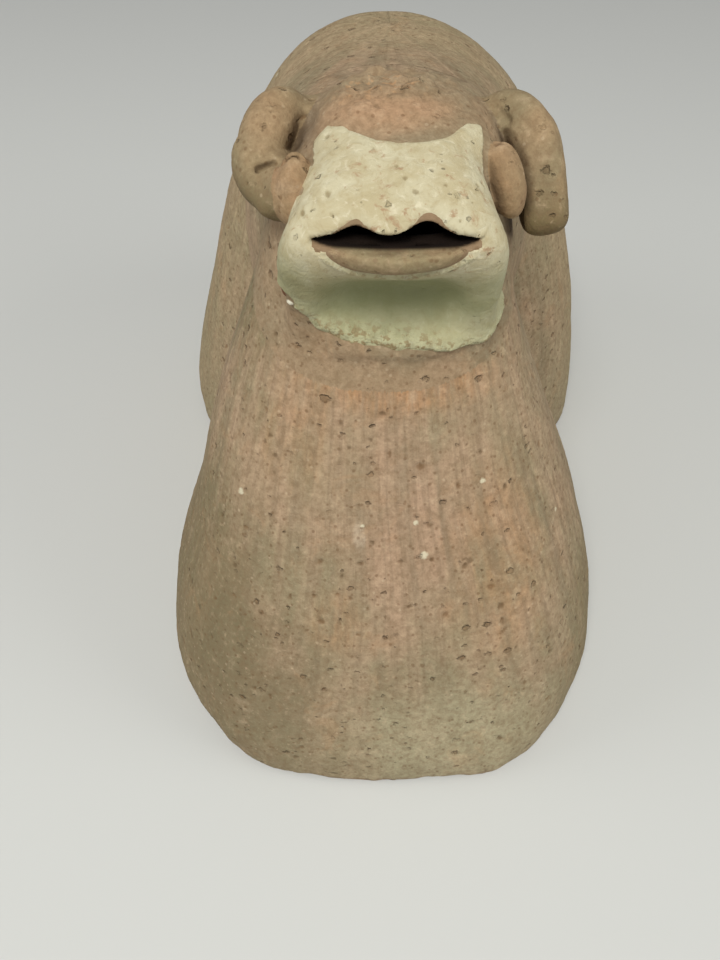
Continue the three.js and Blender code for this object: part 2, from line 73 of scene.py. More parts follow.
class Profile:
    """Signed distance to a closed profile in (r, z), mirrored about r = 0, looked up on a grid."""
    def __init__(self, pts, step=0.5, pad=60):
        p = np.asarray(pts, float)
        rmax = p[:,0].max() + pad; z0 = p[:,1].min() - pad; z1 = p[:,1].max() + pad
        r = np.arange(0, rmax, step); z = np.arange(z0, z1, step)
        R, Z = np.meshgrid(r, z, indexing="ij")
        loop = np.vstack([p, np.column_stack([-p[::-1,0], p[::-1,1]])])
        d2 = np.full(R.shape, 1e9); inside = np.zeros(R.shape, bool)
        for a, b in zip(loop, np.roll(loop, -1, 0)):
            e = b - a; L = e @ e
            if L < 1e-12: continue
            t = np.clip(((R-a[0])*e[0] + (Z-a[1])*e[1]) / L, 0, 1)
            d2 = np.minimum(d2, (R-a[0]-t*e[0])**2 + (Z-a[1]-t*e[1])**2)
            c = (a[1] > Z) != (b[1] > Z)
            xx = a[0] + (Z - a[1]) / (b[1]-a[1] if b[1] != a[1] else 1e-9) * (b[0]-a[0])
            inside ^= c & (R < xx)
        self.g = np.where(inside, -np.sqrt(d2), np.sqrt(d2)).astype(np.float32)
        self.z0, self.k = z0, 1/step
    def __call__(self, r, z):
        g = self.g
        u = np.clip(r*self.k, 0, g.shape[0]-1.001); v = np.clip((z-self.z0)*self.k, 0, g.shape[1]-1.001)
        i = u.astype(np.int32); j = v.astype(np.int32); a = u-i; b = v-j
        return (g[i,j]*(1-a)+g[i+1,j]*a)*(1-b) + (g[i,j+1]*(1-a)+g[i+1,j+1]*a)*b

def smin(a, b, k):
    h = np.clip(k - np.abs(a-b), 0, None) / k
    return np.minimum(a, b) - h*h*k*0.25
def smax(a, b, k):
    return -smin(-a, -b, k)
def step(a, b, x):
    t = np.clip((x-a)/(b-a), 0, 1); return t*t*(3-2*t)

CHEST = np.array([  # z, centre x, centre y, half width, half depth
 [0, -0.7, -54.1, 62.5, 66.4], [4, -0.7, -54.1, 62.8, 66.5], [22, -0.5, -50.3, 60.4, 61.9],
 [41, -0.2, -50.9, 54.6, 53.8], [59, -0.4, -47.6, 48.4, 44], [74, -1.8, -44.7, 43, 36.6],
 [86, -2, -41.8, 38.2, 32.8], [99, -2.2, -38.8, 33.2, 28.8], [112, -1.9, -36.2, 28.6, 25.2],
 [124, -1.2, -34.8, 25, 22.8], [134, -0.8, -34, 20.5, 20], [141, -0.5, -34, 13, 16],
 [143.5, -0.5, -34, 0.01, 12]])
CHEST_POWER = ([0, 20, 45, 75, 144], [2.02, 2.28, 2.17, 2.35, 2.35])
CHEST_FRONT = ([0, 4, 22, 41, 59, 74, 86, 144], [-114.3, -114.2, -108.5, -100.5, -93.5, -88, -87, -150])
RUMP = np.array([
 [0, 2, 48.5, 71.5, 62.5], [4, 2, 48.5, 72, 63], [23, 2.7, 49.2, 69.3, 61.2],
 [41, 3.5, 49.5, 65.2, 58.5], [58, 4, 49.2, 60.6, 55.2], [70, 4, 48.5, 57, 52.5],
 [92, 3.2, 46.2, 48.8, 46.2], [111.5, 2.2, 44.8, 38, 36.8], [122, 1.6, 43.8, 29.2, 27.8],
 [127.3, 1.2, 43, 22, 21], [131.2, 1, 43, 13, 13], [132.8, 1, 43, 0.01, 3]])
RUMP_POWER = ([0, 133], [2.15, 2.15])

class Bell:
    """A bell of oval sections; front is where its face is flattened, at each height."""
    def __init__(self, tab, power, front=None):
        z = tab[:,0]; top = z[-1]
        self.cx = Table1(z, tab[:,1], -5, top, soft=5); self.cy = Table1(z, tab[:,2], -5, top, soft=5)
        ratio = tab[:,4]/np.maximum(tab[:,3], 1e-3); ratio[-1] = ratio[-2]
        self.ratio = Table1(z, ratio, -5, top, soft=5)
        self.n = Table1(*power, 0, power[0][-1], soft=5)
        self.front = Table1(*front, 0, front[0][-1], soft=5) if front else None
        zz = np.linspace(0, top, 160); a0 = pchip(z, tab[:,3]); soft = Table1(z, tab[:,3], 0, top, soft=5)(zz)
        t = step(top-34, top-14, zz); aa = soft*(1-t)+a0(zz)*t
        self.p = Profile([(0, -30), (aa[0], -30)] + list(zip(aa, zz)) + [(0, top)])
    def __call__(self, x, y, z):
        u = np.abs(x-self.cx(z)); v = np.abs(y-self.cy(z)) / self.ratio(z)
        n = self.n(z)
        d = self.p((u**n + v**n)**(1/n), z)
        if self.front: d = smax(d, (self.front(z)-y)*0.92, 10.0)
        return d

chest = Bell(CHEST, CHEST_POWER, CHEST_FRONT)
rump = Bell(RUMP, RUMP_POWER)

SADDLE = np.array([  # y, centre x, half width, top z, bottom z
 [-45, -1, 19, 143, 70], [-30, -1, 27, 144.5, 60], [-15, -0.5, 33.5, 143, 54],
 [0, 0, 37.5, 139.8, 50], [20, 1, 40, 135.5, 46], [45, 1.5, 41, 130.5, 40]])
_st = [Table1(SADDLE[:,0], SADDLE[:,k], -45, 45) for k in range(1,5)]
def saddle(x, y, z):
    cx, w, zt, zb = (t(y) for t in _st)
    zc = (zt+zb)/2; hh = (zt-zb)/2; n = 2.3
    rho = ((np.abs(x-cx)/w)**n+(np.abs(z-zc)/hh)**n)**(1/n); r = np.hypot(x-cx, z-zc)
    return smax(r*(1-1/np.maximum(rho,1e-2)), np.maximum(-45-y, y-45), 8)

HEAD = np.array([  # y, centre x, half width, top z
 [-12, 0.5, 15.8, 140], [-22, 1.1, 20.9, 145.2], [-32, 1.7, 23.2, 147.8],
 [-42, 1.1, 22.1, 148.2], [-50, -0.4, 19.3, 147.2], [-58, -0.6, 20.6, 145.6],
 [-64, -0.8, 22.2, 143.6], [-70, -0.8, 22.6, 141.4]])[::-1]
_ht = [Table1(HEAD[:,0], HEAD[:,k], -70, -12) for k in range(1,4)]
# the face from the side: in the middle the throat is scooped out under the lip, beside it the jaw comes straight down
MID = Table1([96, 101, 106, 109, 111, 113, 115.5, 118, 121.5, 125, 128.5, 131.5, 134.5, 137, 140, 146, 152],
 [-57, -58.5, -61.2, -63.8, -63.6, -61.6, -59.8, -59.2, -60.0, -62.4, -65.6, -68.6, -70.2, -70.4, -69.2, -66.3, -62], 96, 152)
SIDE = Table1([96, 101, 106, 112, 118, 125, 131, 137, 141, 146, 152],
 [-57, -58.5, -61, -62.6, -64, -66.4, -68.8, -70.2, -69.2, -66.5, -62], 96, 152)
def skull(x, y, z):
    cx, w, zt = (t(y) for t in _ht)
    zb = 100.0; zc = (zt+zb)/2; hh = (zt-zb)/2; n = 4.0
    w = w*(1-0.13*np.clip((z-126)/22, -0.2, 1))
    rho = ((np.abs(x-cx)/w)**n+(np.abs(z-zc)/hh)**n)**(1/n); r = np.hypot(x-cx, z-zc)
    d = r*(1-1/np.maximum(rho,1e-2))
    t = step(8.0, 17.5, np.abs(x+0.3))
    f = MID(z)*(1-t) + SIDE(z)*t + 0.0075*(x-cx)**2
    d = smax(smax(d, f-y, 4.5), y+12, 7)
    # the troughs between the forehead and the horns
    d = smax(d, -capsule(x, y, z, (-19.2,-22,150), (-19.8,-48,144.6), 3.2), 2.5)
    return smax(d, -capsule(x, y, z, (19.8,-24,150.4), (20.8,-47,145.6), 1.6), 2.0)

def capsule(x, y, z, a, b, r):
    a = np.array(a, float); e = np.array(b, float)-a
    t = np.clip(((x-a[0])*e[0]+(y-a[1])*e[1]+(z-a[2])*e[2])/(e@e), 0, 1)
    return np.sqrt((x-a[0]-t*e[0])**2+(y-a[1]-t*e[1])**2+(z-a[2]-t*e[2])**2)-r

def ellipsoid(x, y, z, c, r, R=None, n=2.0):
    q = np.stack([x-c[0], y-c[1], z-c[2]], -1)
    if R is not None: q = q @ np.asarray(R)
    rho = ((np.abs(q)/np.asarray(r))**n).sum(-1)**(1/n); d = np.sqrt((q*q).sum(-1))
    return np.where(rho > 1e-3, d*(1-1/np.maximum(rho,1e-3)), -min(r))
def turn(ax, deg):
    a = math.radians(deg); c, s = math.cos(a), math.sin(a)
    return {"x": np.array([[1,0,0],[0,c,-s],[0,s,c]]), "y": np.array([[c,0,s],[0,1,0],[-s,0,c]]), "z": np.array([[c,-s,0],[s,c,0],[0,0,1]])}[ax]

class Tube:
    """A bar swept along a smooth path. Rows: x, y, z, half thickness, half height."""
    def __init__(self, pts, up, n=2.3, sub=10):
        p = np.asarray(pts, float); tt = np.linspace(0, len(p)-1, (len(p)-1)*sub+1)
        def cr(c):
            e = np.vstack([2*c[0]-c[1], c, 2*c[-1]-c[-2]]); out = []
            for q in tt:
                i = min(int(q), len(c)-2); f = q-i; a,b,c1,d = e[i],e[i+1],e[i+2],e[i+3]
                out.append(0.5*((2*b)+(-a+c1)*f+(2*a-5*b+4*c1-d)*f*f+(-a+3*b-3*c1+d)*f**3))
            return np.array(out)
        c = cr(p); self.c = c[:,:3]; self.w = c[:,3:5]
        T = np.gradient(self.c, axis=0); T /= np.linalg.norm(T, axis=1)[:,None]
        U = cr(np.asarray(up, float)); U -= (U*T).sum(1)[:,None]*T; U /= np.linalg.norm(U, axis=1)[:,None]
        self.T, self.U, self.S, self.n = T, U, np.cross(T, U), n
    def __call__(self, x, y, z):
        lo = self.c.min(0)-14; hi = self.c.max(0)+14
        m = (x>lo[0])&(x<hi[0])&(y>lo[1])&(y<hi[1])&(z>lo[2])&(z<hi[2])
        far = np.maximum.reduce([lo[0]-x, x-hi[0], lo[1]-y, y-hi[1], lo[2]-z, z-hi[2]]) + 6
        best = np.maximum(far, 4).astype(np.float32)
        if not m.any(): return best
        q = np.stack([x[m], y[m], z[m]], -1).astype(np.float32)
        b = np.full(len(q), 1e9, np.float32)
        c, T, U, S, W, n = self.c, self.T, self.U, self.S, self.w, self.n
        for i in range(len(c)-1):
            e = c[i+1]-c[i]
            t = np.clip((q-c[i])@e/(e@e), 0, 1).astype(np.float32)
            d = q-(c[i]+t[:,None]*e)
            Ti = T[i]+(T[i+1]-T[i])*t[:,None]; Ui = U[i]+(U[i+1]-U[i])*t[:,None]; Si = S[i]+(S[i+1]-S[i])*t[:,None]
            w = W[i]+(W[i+1]-W[i])*t[:,None]
            s = np.abs((d*Si).sum(1)); u = np.abs((d*Ui).sum(1)); l = np.abs((d*Ti).sum(1))
            rho = ((s/w[:,0])**n+(u/w[:,1])**n+(l/np.minimum(w[:,0],w[:,1]))**n)**(1/n)
            r = np.sqrt(s*s+u*u+l*l)
            b = np.minimum(b, np.where(rho>1e-3, r*(1-1/np.maximum(rho,1e-3)), -w.min(1)))
        best[m] = b
        return best

# left and right are the ram's own: its left is at +X
horn_l = Tube([
 [19.5, -26.0, 138.5, 5.4, 6.2], [24.6, -29.2, 141.0, 5.0, 6.7], [28.0, -33.8, 139.1, 4.9, 7.0],
 [29.6, -38, 133.8, 5.0, 7.2], [30.9, -41.5, 128.3, 4.7, 6.8]],
 up=[[0,-0.8,0.5],[0,-0.8,0.5],[0,-0.9,0.2],[0,-1,0],[0,-1,-0.1]], n=2.9)
horn_r = Tube([
 [-18.0, -27, 138.5, 5.5, 6.2], [-23.2, -29, 141.4, 5.0, 6.6], [-25.6, -34, 141.0, 4.9, 6.8],
 [-26.5, -39.2, 138.3, 4.9, 6.2], [-25.4, -44.6, 137.0, 4.5, 5.4], [-23.0, -49.4, 136.2, 3.9, 4.4]],
 up=[[0,-0.8,0.5],[0,-0.8,0.5],[0,-0.9,0.2],[0,-1,0],[0,-0.95,-0.3],[0,-0.85,-0.55]], n=2.5)
_EL = turn("y",-17)@turn("x",-22); _ER = turn("y",8)@turn("x",-29)
def leaf(x, y, z, c, r, R, side):
    """An ear: a pressed leaf, with a shallow stroke down its face."""
    d = ellipsoid(x, y, z, c, r, R)
    o = R @ np.array([-side*(r[0]+0.1), -3.2, -1.6])
    return smax(d, -ellipsoid(x, y, z, np.array(c)+o, (0.9, 0.9, r[2]*0.5), R), 1.2)
def ear_l(x,y,z): return leaf(x,y,z,(21.3,-47.4,138.0),(3.4,4.4,6.9),_EL,1)
def ear_r(x,y,z): return leaf(x,y,z,(-19.6,-51.4,139.2),(3.1,4.8,6.0),_ER,-1)
def crown(x,y,z): return ellipsoid(x,y,z,(-0.5,-33.0,146.2),(12.5,10.5,3.9))
def lip(x, y, z):
    q = np.clip((x+0.5)/14.5, -1.3, 1.3)**2
    return ellipsoid(x, y-0.9*q, z-2.2*q, (-0.5,-66.7,135.2), (13.8,5.1,3.4), None, 2.2)
tail = Tube([[2,90,90,6.5,5],[3,98.5,78,6.2,5],[4,105,64,5.8,4.6],[4.5,109.3,50,5,4],[4.2,111.6,39,4,3.4]],
 up=[[0,.6,.8],[0,.8,.5],[0,1,.3],[0,1,.2],[0,1,.15]], n=2.2)

def throat(x, y, z):
    """The hollow scooped out of the neck under the jaw."""
    return ellipsoid(x, y, z, (-0.3,-71.5,119.0), (17.0,12.4,8.6), None, 2.6)

def crevices(x, y, z):
    """The deep dark hollows that stay open where the horns and ears were pressed on."""
    d = capsule(x, y, z, (-26.2,-47.1,140.1), (-23.0,-46.9,141.4), 0.95)
    d = np.minimum(d, capsule(x, y, z, (-23.0,-46.9,141.4), (-20.6,-50.7,143.6), 0.9))
    d = np.minimum(d, capsule(x, y, z, (-20.6,-50.7,143.6), (-18.2,-50.5,144.1), 0.7))
    d = np.minimum(d, capsule(x, y, z, (19.4,-32.6,145.6), (21.8,-35.4,144.2), 1.05))
    d = np.minimum(d, capsule(x, y, z, (22.4,-38.4,142.0), (24.4,-42.6,138.4), 0.85))
    d = np.minimum(d, capsule(x, y, z, (24.6,-43.6,137.6), (25.2,-44.6,134.4), 0.7))
    return np.minimum(d, capsule(x, y, z, (25.3,-44.0,129.8), (25.6,-45.0,124.2), 1.6))

def slit(x, y, z):
    """The mouth: a slit with two raised lobes in its upper edge, running in to the hollow."""
    xc = x + 0.5
    env = np.clip(1-(np.abs(xc)/14.9)**2.2, 0, 1)
    lobes = 2.1*np.exp(-((xc-5.6)/3.9)**2) + 1.6*np.exp(-((xc+7.7)/3.5)**2) + 0.9
    top = 138.2 + lobes*env**0.7
    bot = 138.2 - 1.1*env**0.8
    s = np.maximum(np.maximum(z-top, bot-z), y+48.0)
    return np.maximum(s, np.abs(xc)-14.9)

HB = np.array([[-44,-84,92],[44,0,160]], float)
NECK = 1/math.hypot(1, 0.39)
def neck_side(x, y, z):  # above the neck joint > 0
    return (z - (101 + (y+66)*0.39)) * NECK

def parts(x, y, z):
    """Distances to each clay form, and to the whole outside."""
    out = {}
    out["chest"] = chest(x,y,z); out["rump"] = rump(x,y,z); out["saddle"] = saddle(x,y,z)
    d = smin(smin(out["chest"], out["rump"], 3.0), out["saddle"], 3.5)
    far = np.maximum.reduce([HB[0,0]-x, x-HB[1,0], HB[0,1]-y, y-HB[1,1], HB[0,2]-z, z-HB[1,2]])
    m = far < 2
    for k in ("skull","crown","lip","horn_l","horn_r","ear_l","ear_r"):
        out[k] = (far + 6.0).astype(np.float32)
    h = far + 6.0
    if m.any():
        a, b, c = x[m], y[m], z[m]
        s = skull(a,b,c); cr = crown(a,b,c); li = lip(a,b,c); hl = horn_l(a,b,c); hr = horn_r(a,b,c); el = ear_l(a,b,c); er = ear_r(a,b,c)
        for k, v in (("skull",s),("crown",cr),("lip",li),("horn_l",hl),("horn_r",hr),("ear_l",el),("ear_r",er)): out[k][m] = v
        g = smin(s, cr, 6.0); g = smin(g, li, 1.6); g = smax(g, -slit(a,b,c), 1.0)
        g = smin(g, hl, 1.8); g = smin(g, hr, 4.0); g = smin(g, el, 3.6); g = smin(g, er, 3.4); g = smax(g, -crevices(a,b,c), 0.8)
        h[m] = g
    whole = np.minimum(d, h)
    mm = m & (h < 30)
    whole[mm] = smin(d[mm], h[mm], 5.0)
    # the mouth is cut through the neck's front wall too
    if m.any():
        mm = m & (np.abs(x) < 23) & (y < -44)
        if mm.any():
            a, b, c = x[mm], y[mm], z[mm]
            g = smax(whole[mm], -slit(a,b,c), 1.0)
            whole[mm] = smax(g, -throat(a,b,c), 2.5)
    out["all"] = whole
    return out

# =====================================================================================
# noise
# =====================================================================================
class Noise:
    def __init__(self, seed, n=40):
        self.n = n; self.g = (np.random.default_rng(seed).random((n,n,n), dtype=np.float32)*2-1)
    def __call__(self, x, y, z=None):
        n, g = self.n, self.g
        if z is None: z = np.zeros_like(x)
        i, j, k = (np.floor(v).astype(np.int64) for v in (x,y,z))
        a, b, c = x-i, y-j, z-k
        a, b, c = (v*v*(3-2*v) for v in (a,b,c))
        i0, j0, k0 = i%n, j%n, k%n; i1, j1, k1 = (i+1)%n, (j+1)%n, (k+1)%n
        def l(p, q): return (g[i0,p,q]*(1-a)+g[i1,p,q]*a)
        return ((l(j0,k0)*(1-b)+l(j1,k0)*b)*(1-c)+(l(j0,k1)*(1-b)+l(j1,k1)*b)*c).astype(np.float32)
N1, N2, N3, N4, N5 = (Noise(s) for s in (11, 23, 37, 51, 67))
def fbm(n, x, y, z, w, octaves=3):
    s = 0; a = 1.0; t = 0
    for o in range(octaves):
        f = 2.0**o/w; s = s + a*n(x*f+17*o, y*f+5*o, z*f+9*o); t += a; a *= 0.5
    return s/t

# =====================================================================================
# mesh making: surface nets of a field, refined where it shows
# =====================================================================================
def nets(f, lo, hi, h):
    lo = np.array(lo, float); n = np.ceil((np.array(hi, float)-lo)/h).astype(int)+1
    ax = [lo[k]+h*np.arange(n[k]) for k in range(3)]
    F = np.empty(n, np.float32)
    for i in range(0, n[0], 12):
        X, Y, Z = np.meshgrid(ax[0][i:i+12], ax[1], ax[2], indexing="ij")
        F[i:i+12] = f(X.ravel(), Y.ravel(), Z.ravel()).reshape(X.shape)
    F[0] = np.maximum(F[0], h); F[-1] = np.maximum(F[-1], h)
    F[:,0] = np.maximum(F[:,0], h); F[:,-1] = np.maximum(F[:,-1], h)
    F[:,:,0] = np.maximum(F[:,:,0], h); F[:,:,-1] = np.maximum(F[:,:,-1], h)
    S = F < 0
    sl = lambda a, d: slice(d, a.shape[0]-1+d)
    def corner(A, dx, dy, dz): return A[dx:A.shape[0]-1+dx, dy:A.shape[1]-1+dy, dz:A.shape[2]-1+dz]
    cnt = sum(corner(S,dx,dy,dz).astype(np.int8) for dx in (0,1) for dy in (0,1) for dz in (0,1))
    act = (cnt > 0) & (cnt < 8)
    ids = -np.ones(act.shape, np.int64); ids[act] = np.arange(act.sum())
    cell = np.argwhere(act).astype(float)
    pos = np.zeros_like(cell); num = np.zeros(len(cell))
    for ax_ in range(3):
        o = [(0,0),(0,1),(1,0),(1,1)]
        for p, q in o:
            a = [0,0,0]; oth = [k for k in range(3) if k != ax_]; a[oth[0]] = p; a[oth[1]] = q
            b = list(a); b[ax_] = 1
            fa = corner(F,*a)[act]; fb = corner(F,*b)[act]
            c = (fa < 0) != (fb < 0)
            t = np.where(c, fa/np.where(c, fa-fb, 1), 0)
            P = np.array(a, float)[None,:].repeat(len(cell),0); P[:,ax_] = t
            pos += P*c[:,None]; num += c
    V = lo + h*(cell + pos/num[:,None])
    faces = []
    # x edges
    E = S[:-1,1:-1,1:-1] != S[1:,1:-1,1:-1]; i,j,k = np.nonzero(E); j += 1; k += 1; low = S[i,j,k]
    q = np.stack([ids[i,j-1,k-1], ids[i,j,k-1], ids[i,j,k], ids[i,j-1,k]], 1); q[~low] = q[~low][:,::-1]; faces.append(q)
    E = S[1:-1,:-1,1:-1] != S[1:-1,1:,1:-1]; i,j,k = np.nonzero(E); i += 1; k += 1; low = S[i,j,k]
    q = np.stack([ids[i-1,j,k-1], ids[i-1,j,k], ids[i,j,k], ids[i,j,k-1]], 1); q[~low] = q[~low][:,::-1]; faces.append(q)
    E = S[1:-1,1:-1,:-1] != S[1:-1,1:-1,1:]; i,j,k = np.nonzero(E); i += 1; j += 1; low = S[i,j,k]
    q = np.stack([ids[i-1,j-1,k], ids[i,j-1,k], ids[i,j,k], ids[i-1,j,k]], 1); q[~low] = q[~low][:,::-1]; faces.append(q)
    return V, np.concatenate(faces)

def largest(V, Q):
    """Keeps the largest connected part."""
    lab = np.arange(len(V))
    while True:
        m = lab[Q].min(1); new = lab.copy()
        for c in range(4): np.minimum.at(new, Q[:,c], m)
        new = new[new]
        if (new == lab).all(): break
        lab = new
    root = lab[Q[:,0]]; keep = root == np.bincount(root).argmax()
    Q = Q[keep]; used = np.unique(Q); back = -np.ones(len(V), np.int64); back[used] = np.arange(len(used))
    return V[used], back[Q]

def grad(f, P, e):
    x, y, z = P.T
    return np.stack([f(x+e,y,z)-f(x-e,y,z), f(x,y+e,z)-f(x,y-e,z), f(x,y,z+e)-f(x,y,z-e)], 1)/(2*e)
def project(f, P, it, e, cap):
    P = P.astype(float)
    for _ in range(it):
        d = f(*P.T); g = grad(f, P, e); k = np.maximum((g*g).sum(1), 0.15)
        mv = -g*(d/k)[:,None]; l = np.linalg.norm(mv, axis=1); mv *= np.minimum(1, cap/np.maximum(l,1e-9))[:,None]
        P = P + mv
    return P
def relax(V, Q, amount=0.5):
    s = np.zeros_like(V); c = np.zeros(len(V))
    for a in range(4):
        b = (a+1) % 4
        for p, q in ((a,b),(b,a)):
            for k in range(3): s[:,k] += np.bincount(Q[:,p], V[Q[:,q],k], len(V))
            c += np.bincount(Q[:,p], minlength=len(V))
    return V + amount*(s/np.maximum(c,1)[:,None]-V)
def split(V, Q, fine, others):
    """Splits the chosen quads in four. Neighbours left whole get the new points on their shared edges, so no crack opens."""
    F = Q[fine]; R = Q[~fine]; n = np.int64(len(V))
    key = lambda a, b: np.minimum(a,b)*n + np.maximum(a,b)
    ks = np.stack([key(F[:,i], F[:,(i+1)%4]) for i in range(4)], 1)
    uk, inv = np.unique(ks.ravel(), return_inverse=True); inv = inv.reshape(ks.shape)
    mid = (V[uk//n]+V[uk%n])/2; m0 = len(V); c0 = m0+len(uk)
    V2 = np.vstack([V, mid, V[F].mean(1)])
    m = m0+inv; c = c0+np.arange(len(F))
    Q2 = np.concatenate([np.stack([F[:,i], m[:,i], c, m[:,(i+3)%4]], 1) for i in range(4)])
    kr = np.stack([key(R[:,i], R[:,(i+1)%4]) for i in range(4)], 1) if len(R) else np.zeros((0,4), np.int64)
    hit = np.isin(kr, uk); touched = hit.any(1)
    look = {int(k): m0+i for i, k in enumerate(uk)} if touched.any() or others else {}
    poly = []
    for loop in [list(r) for r in R[touched]] + others:
        new = []
        for a, b in zip(loop, loop[1:]+loop[:1]):
            new.append(int(a)); k = min(a,b)*n+max(a,b)
            if int(k) in look: new.append(look[int(k)])
        poly.append(new)
    return V2, Q2, R[~touched], poly

def normals(V, Q, poly=()):
    n = np.zeros_like(V)
    fn = np.cross(V[Q[:,2]]-V[Q[:,0]], V[Q[:,3]]-V[Q[:,1]])
    for a in range(4):
        for k in range(3): n[:,k] += np.bincount(Q[:,a], fn[:,k], len(V))
    for p in poly:
        q = V[p]; w = np.cross(q-q[0], np.roll(q,-1,0)-q[0]).sum(0)
        n[p] += w
    return n/np.maximum(np.linalg.norm(n, axis=1), 1e-9)[:,None]

def sculpt(f, lo, hi, h, levels, show):
    """Closed mesh of field f; show(V) is true where the surface is seen and is refined."""
    V, Q = nets(f, lo, hi, h); V, Q = largest(V, Q)
    for _ in range(2):
        V = project(f, relax(V, Q, 0.5), 1, h*0.25, h*0.6)
    V = project(f, V, 2, h*0.1, h*0.5)
    rest = np.zeros((0,4), np.int64); poly = []
    for level in range(levels):
        c = V[Q].mean(1); fine = show(c) if level == 0 else np.ones(len(Q), bool)
        if level:  # everything still in Q is fine; rest holds the quads left whole
            Vn, Qn, Rn, pn = split(V, np.concatenate([Q, rest]), np.concatenate([fine, np.zeros(len(rest), bool)]), poly)
        else:
            Vn, Qn, Rn, pn = split(V, Q, fine, poly)
        V, Q, rest, poly = Vn, Qn, Rn, pn
        hh = h/2**(level+1)
        V = project(f, V, 2, hh*0.25, hh*0.5)
    return V, np.concatenate([Q, rest]), poly

# =====================================================================================
# surface detail, as movement along the normal
# =====================================================================================
def wrap(x, y, z):
    """Arc length round the bell, and height: the way the hand wiped the clay."""
    back = step(-6, 6, y)
    zc = np.clip(z, 0, 130)
    fx = np.arctan2(x-chest.cx(zc), -(y-chest.cy(zc)))
    rx = np.arctan2(x-rump.cx(zc), -(y-rump.cy(zc)))
    return np.where(back > 0.5, rx*58.0+400, fx*50.0), z

# the larger pits of the chest, by place (x, height) and half length, half height
MARKS = np.array([
 [-27.9, 92.6, 0.67, 0.77], [-2.3, 96.3, 1.08, 0.74], [14.5, 95.7, 0.87, 0.75], [-19.1, 89.2, 0.55, 0.76], [-28.5, 86.3, 0.9, 0.78], [-26.2, 84.3, 0.68, 0.78], [-23.3, 86.4, 1.12, 0.64], [-9.4, 89.5, 1.09, 0.63], [-4.8, 90.9, 0.65, 0.75], [-0.6, 87.7, 0.66, 2.02], [6.3, 85.2, 1.55, 1.02], [5.1, 79.9, 1.12, 0.77], [16.7, 88.2, 0.66, 1.78], [20.1, 85.8, 1.12, 1.03], [15.3, 80.1, 0.68, 0.78], [26.5, 76.6, 0.69, 1.33], [9.0, 72.7, 1.14, 0.79], [3.5, 72.2, 0.8, 0.79], [-4.2, 69.3, 0.8, 0.79], [14.5, 67.4, 0.69, 1.06], [17.5, 63.1, 1.05, 1.07], [9.7, 65.4, 0.93, 1.06], [2.5, 65.1, 1.16, 0.69], [4.8, 55.4, 1.41, 0.71], [-26.2, 70.6, 0.81, 0.8], [-37.8, 55.8, 1.22, 0.84], [-11.2, 61.6, 0.82, 1.07], [-12.4, 57.5, 1.18, 0.7], [-9.4, 56.8, 0.94, 0.81], [-5.3, 54.7, 0.94, 1.36], [-16.6, 50.7, 1.19, 1.1], [-12.0, 50.5, 0.95, 1.1], [-7.7, 48.3, 1.2, 0.83], [21.1, 49.0, 0.72, 1.11], [26.9, 52.3, 0.96, 1.66], [13.2, 52.9, 1.19, 1.09], [-23.7, 55.5, 0.71, 1.37], [-30.8, 49.5, 1.46, 1.12], [-16.1, 64.5, 0.93, 1.07], [-7.0, 64.4, 1.16, 0.67], [-19.7, 48.4, 0.96, 0.83], [27.6, 49.1, 0.73, 1.39]])
def scatter_pits(count, seed):
    """Pits over the outside: centre, radius, depth, stretch direction, stretch."""
    r = np.random.default_rng(seed)
    f = lambda x, y, z: parts(x, y, z)["all"]
    P = np.stack([r.uniform(-74,78,count*14), r.uniform(-114,113,count*14), r.uniform(3,152,count*14)], 1)
    P = P[np.abs(f(*P.T)) < 4]; P = project(f, P, 3, 0.2, 3.0)[:count]
    n = len(P); rad = 0.36+0.5*r.random(n)**2.2; dep = 0.2+0.4*r.random(n)
    a = r.normal(size=(n,3)); a[:,2] *= 0.45; st = 1.3+2.2*r.random(n)
    m = len(MARKS); M = np.stack([MARKS[:,0], np.full(m,-75.0), MARKS[:,1]], 1)
    M[:,1] = -100+0.0*M[:,1]
    for _ in range(14):
        d = f(*M.T); M[:,1] += np.clip(d, -4, 4)*0.9
    w, h = MARKS[:,2], MARKS[:,3]
    b = np.where((w >= h)[:,None], np.array([1.0,0,0.08]), np.array([0.05,0.4,1.0]))
    P = np.vstack([P, M]); rad = np.concatenate([rad, 0.88*np.minimum(w, h)]); dep = np.concatenate([dep, 0.3+0.3*r.random(m)])
    a = np.vstack([a, b]); st = np.concatenate([st, np.maximum(w, h)/np.minimum(w, h)])
    a /= np.linalg.norm(a, axis=1)[:,None]
    return P, rad, dep, a, st
PITS = scatter_pits(460, 3)

def pit_depth(V, mask):
    """Depth of the pits at V (0 or less) and how much of a pit each point is."""
    out = np.zeros(len(V)); hole = np.zeros(len(V))
    P, rad, dep, ax, st = PITS
    wob = np.maximum(0.3, 1+0.8*N4(*(V/1.3).T)+0.45*N5(*(V/0.6).T))
    order = np.argsort(V[:,2]); zs = V[order,2]
    for c, r, d, a, s in zip(P, rad, dep, ax, st):
        R = r*s*1.7
        i0, i1 = np.searchsorted(zs, (c[2]-R, c[2]+R)); idx = order[i0:i1]
        if len(idx) == 0: continue
        q = V[idx]-c; m = (q*q).sum(1) < R*R; idx = idx[m]; q = q[m]
        if len(idx) == 0: continue
        l = q@a; q = q-np.outer(l,a)*(1-1/s)
        t = np.linalg.norm(q,axis=1)/(r*wob[idx])
        k = 1-step(0.2, 1.2, t)
        out[idx] = np.minimum(out[idx], -d*k); hole[idx] = np.maximum(hole[idx], k)
    return out*mask, hole*mask

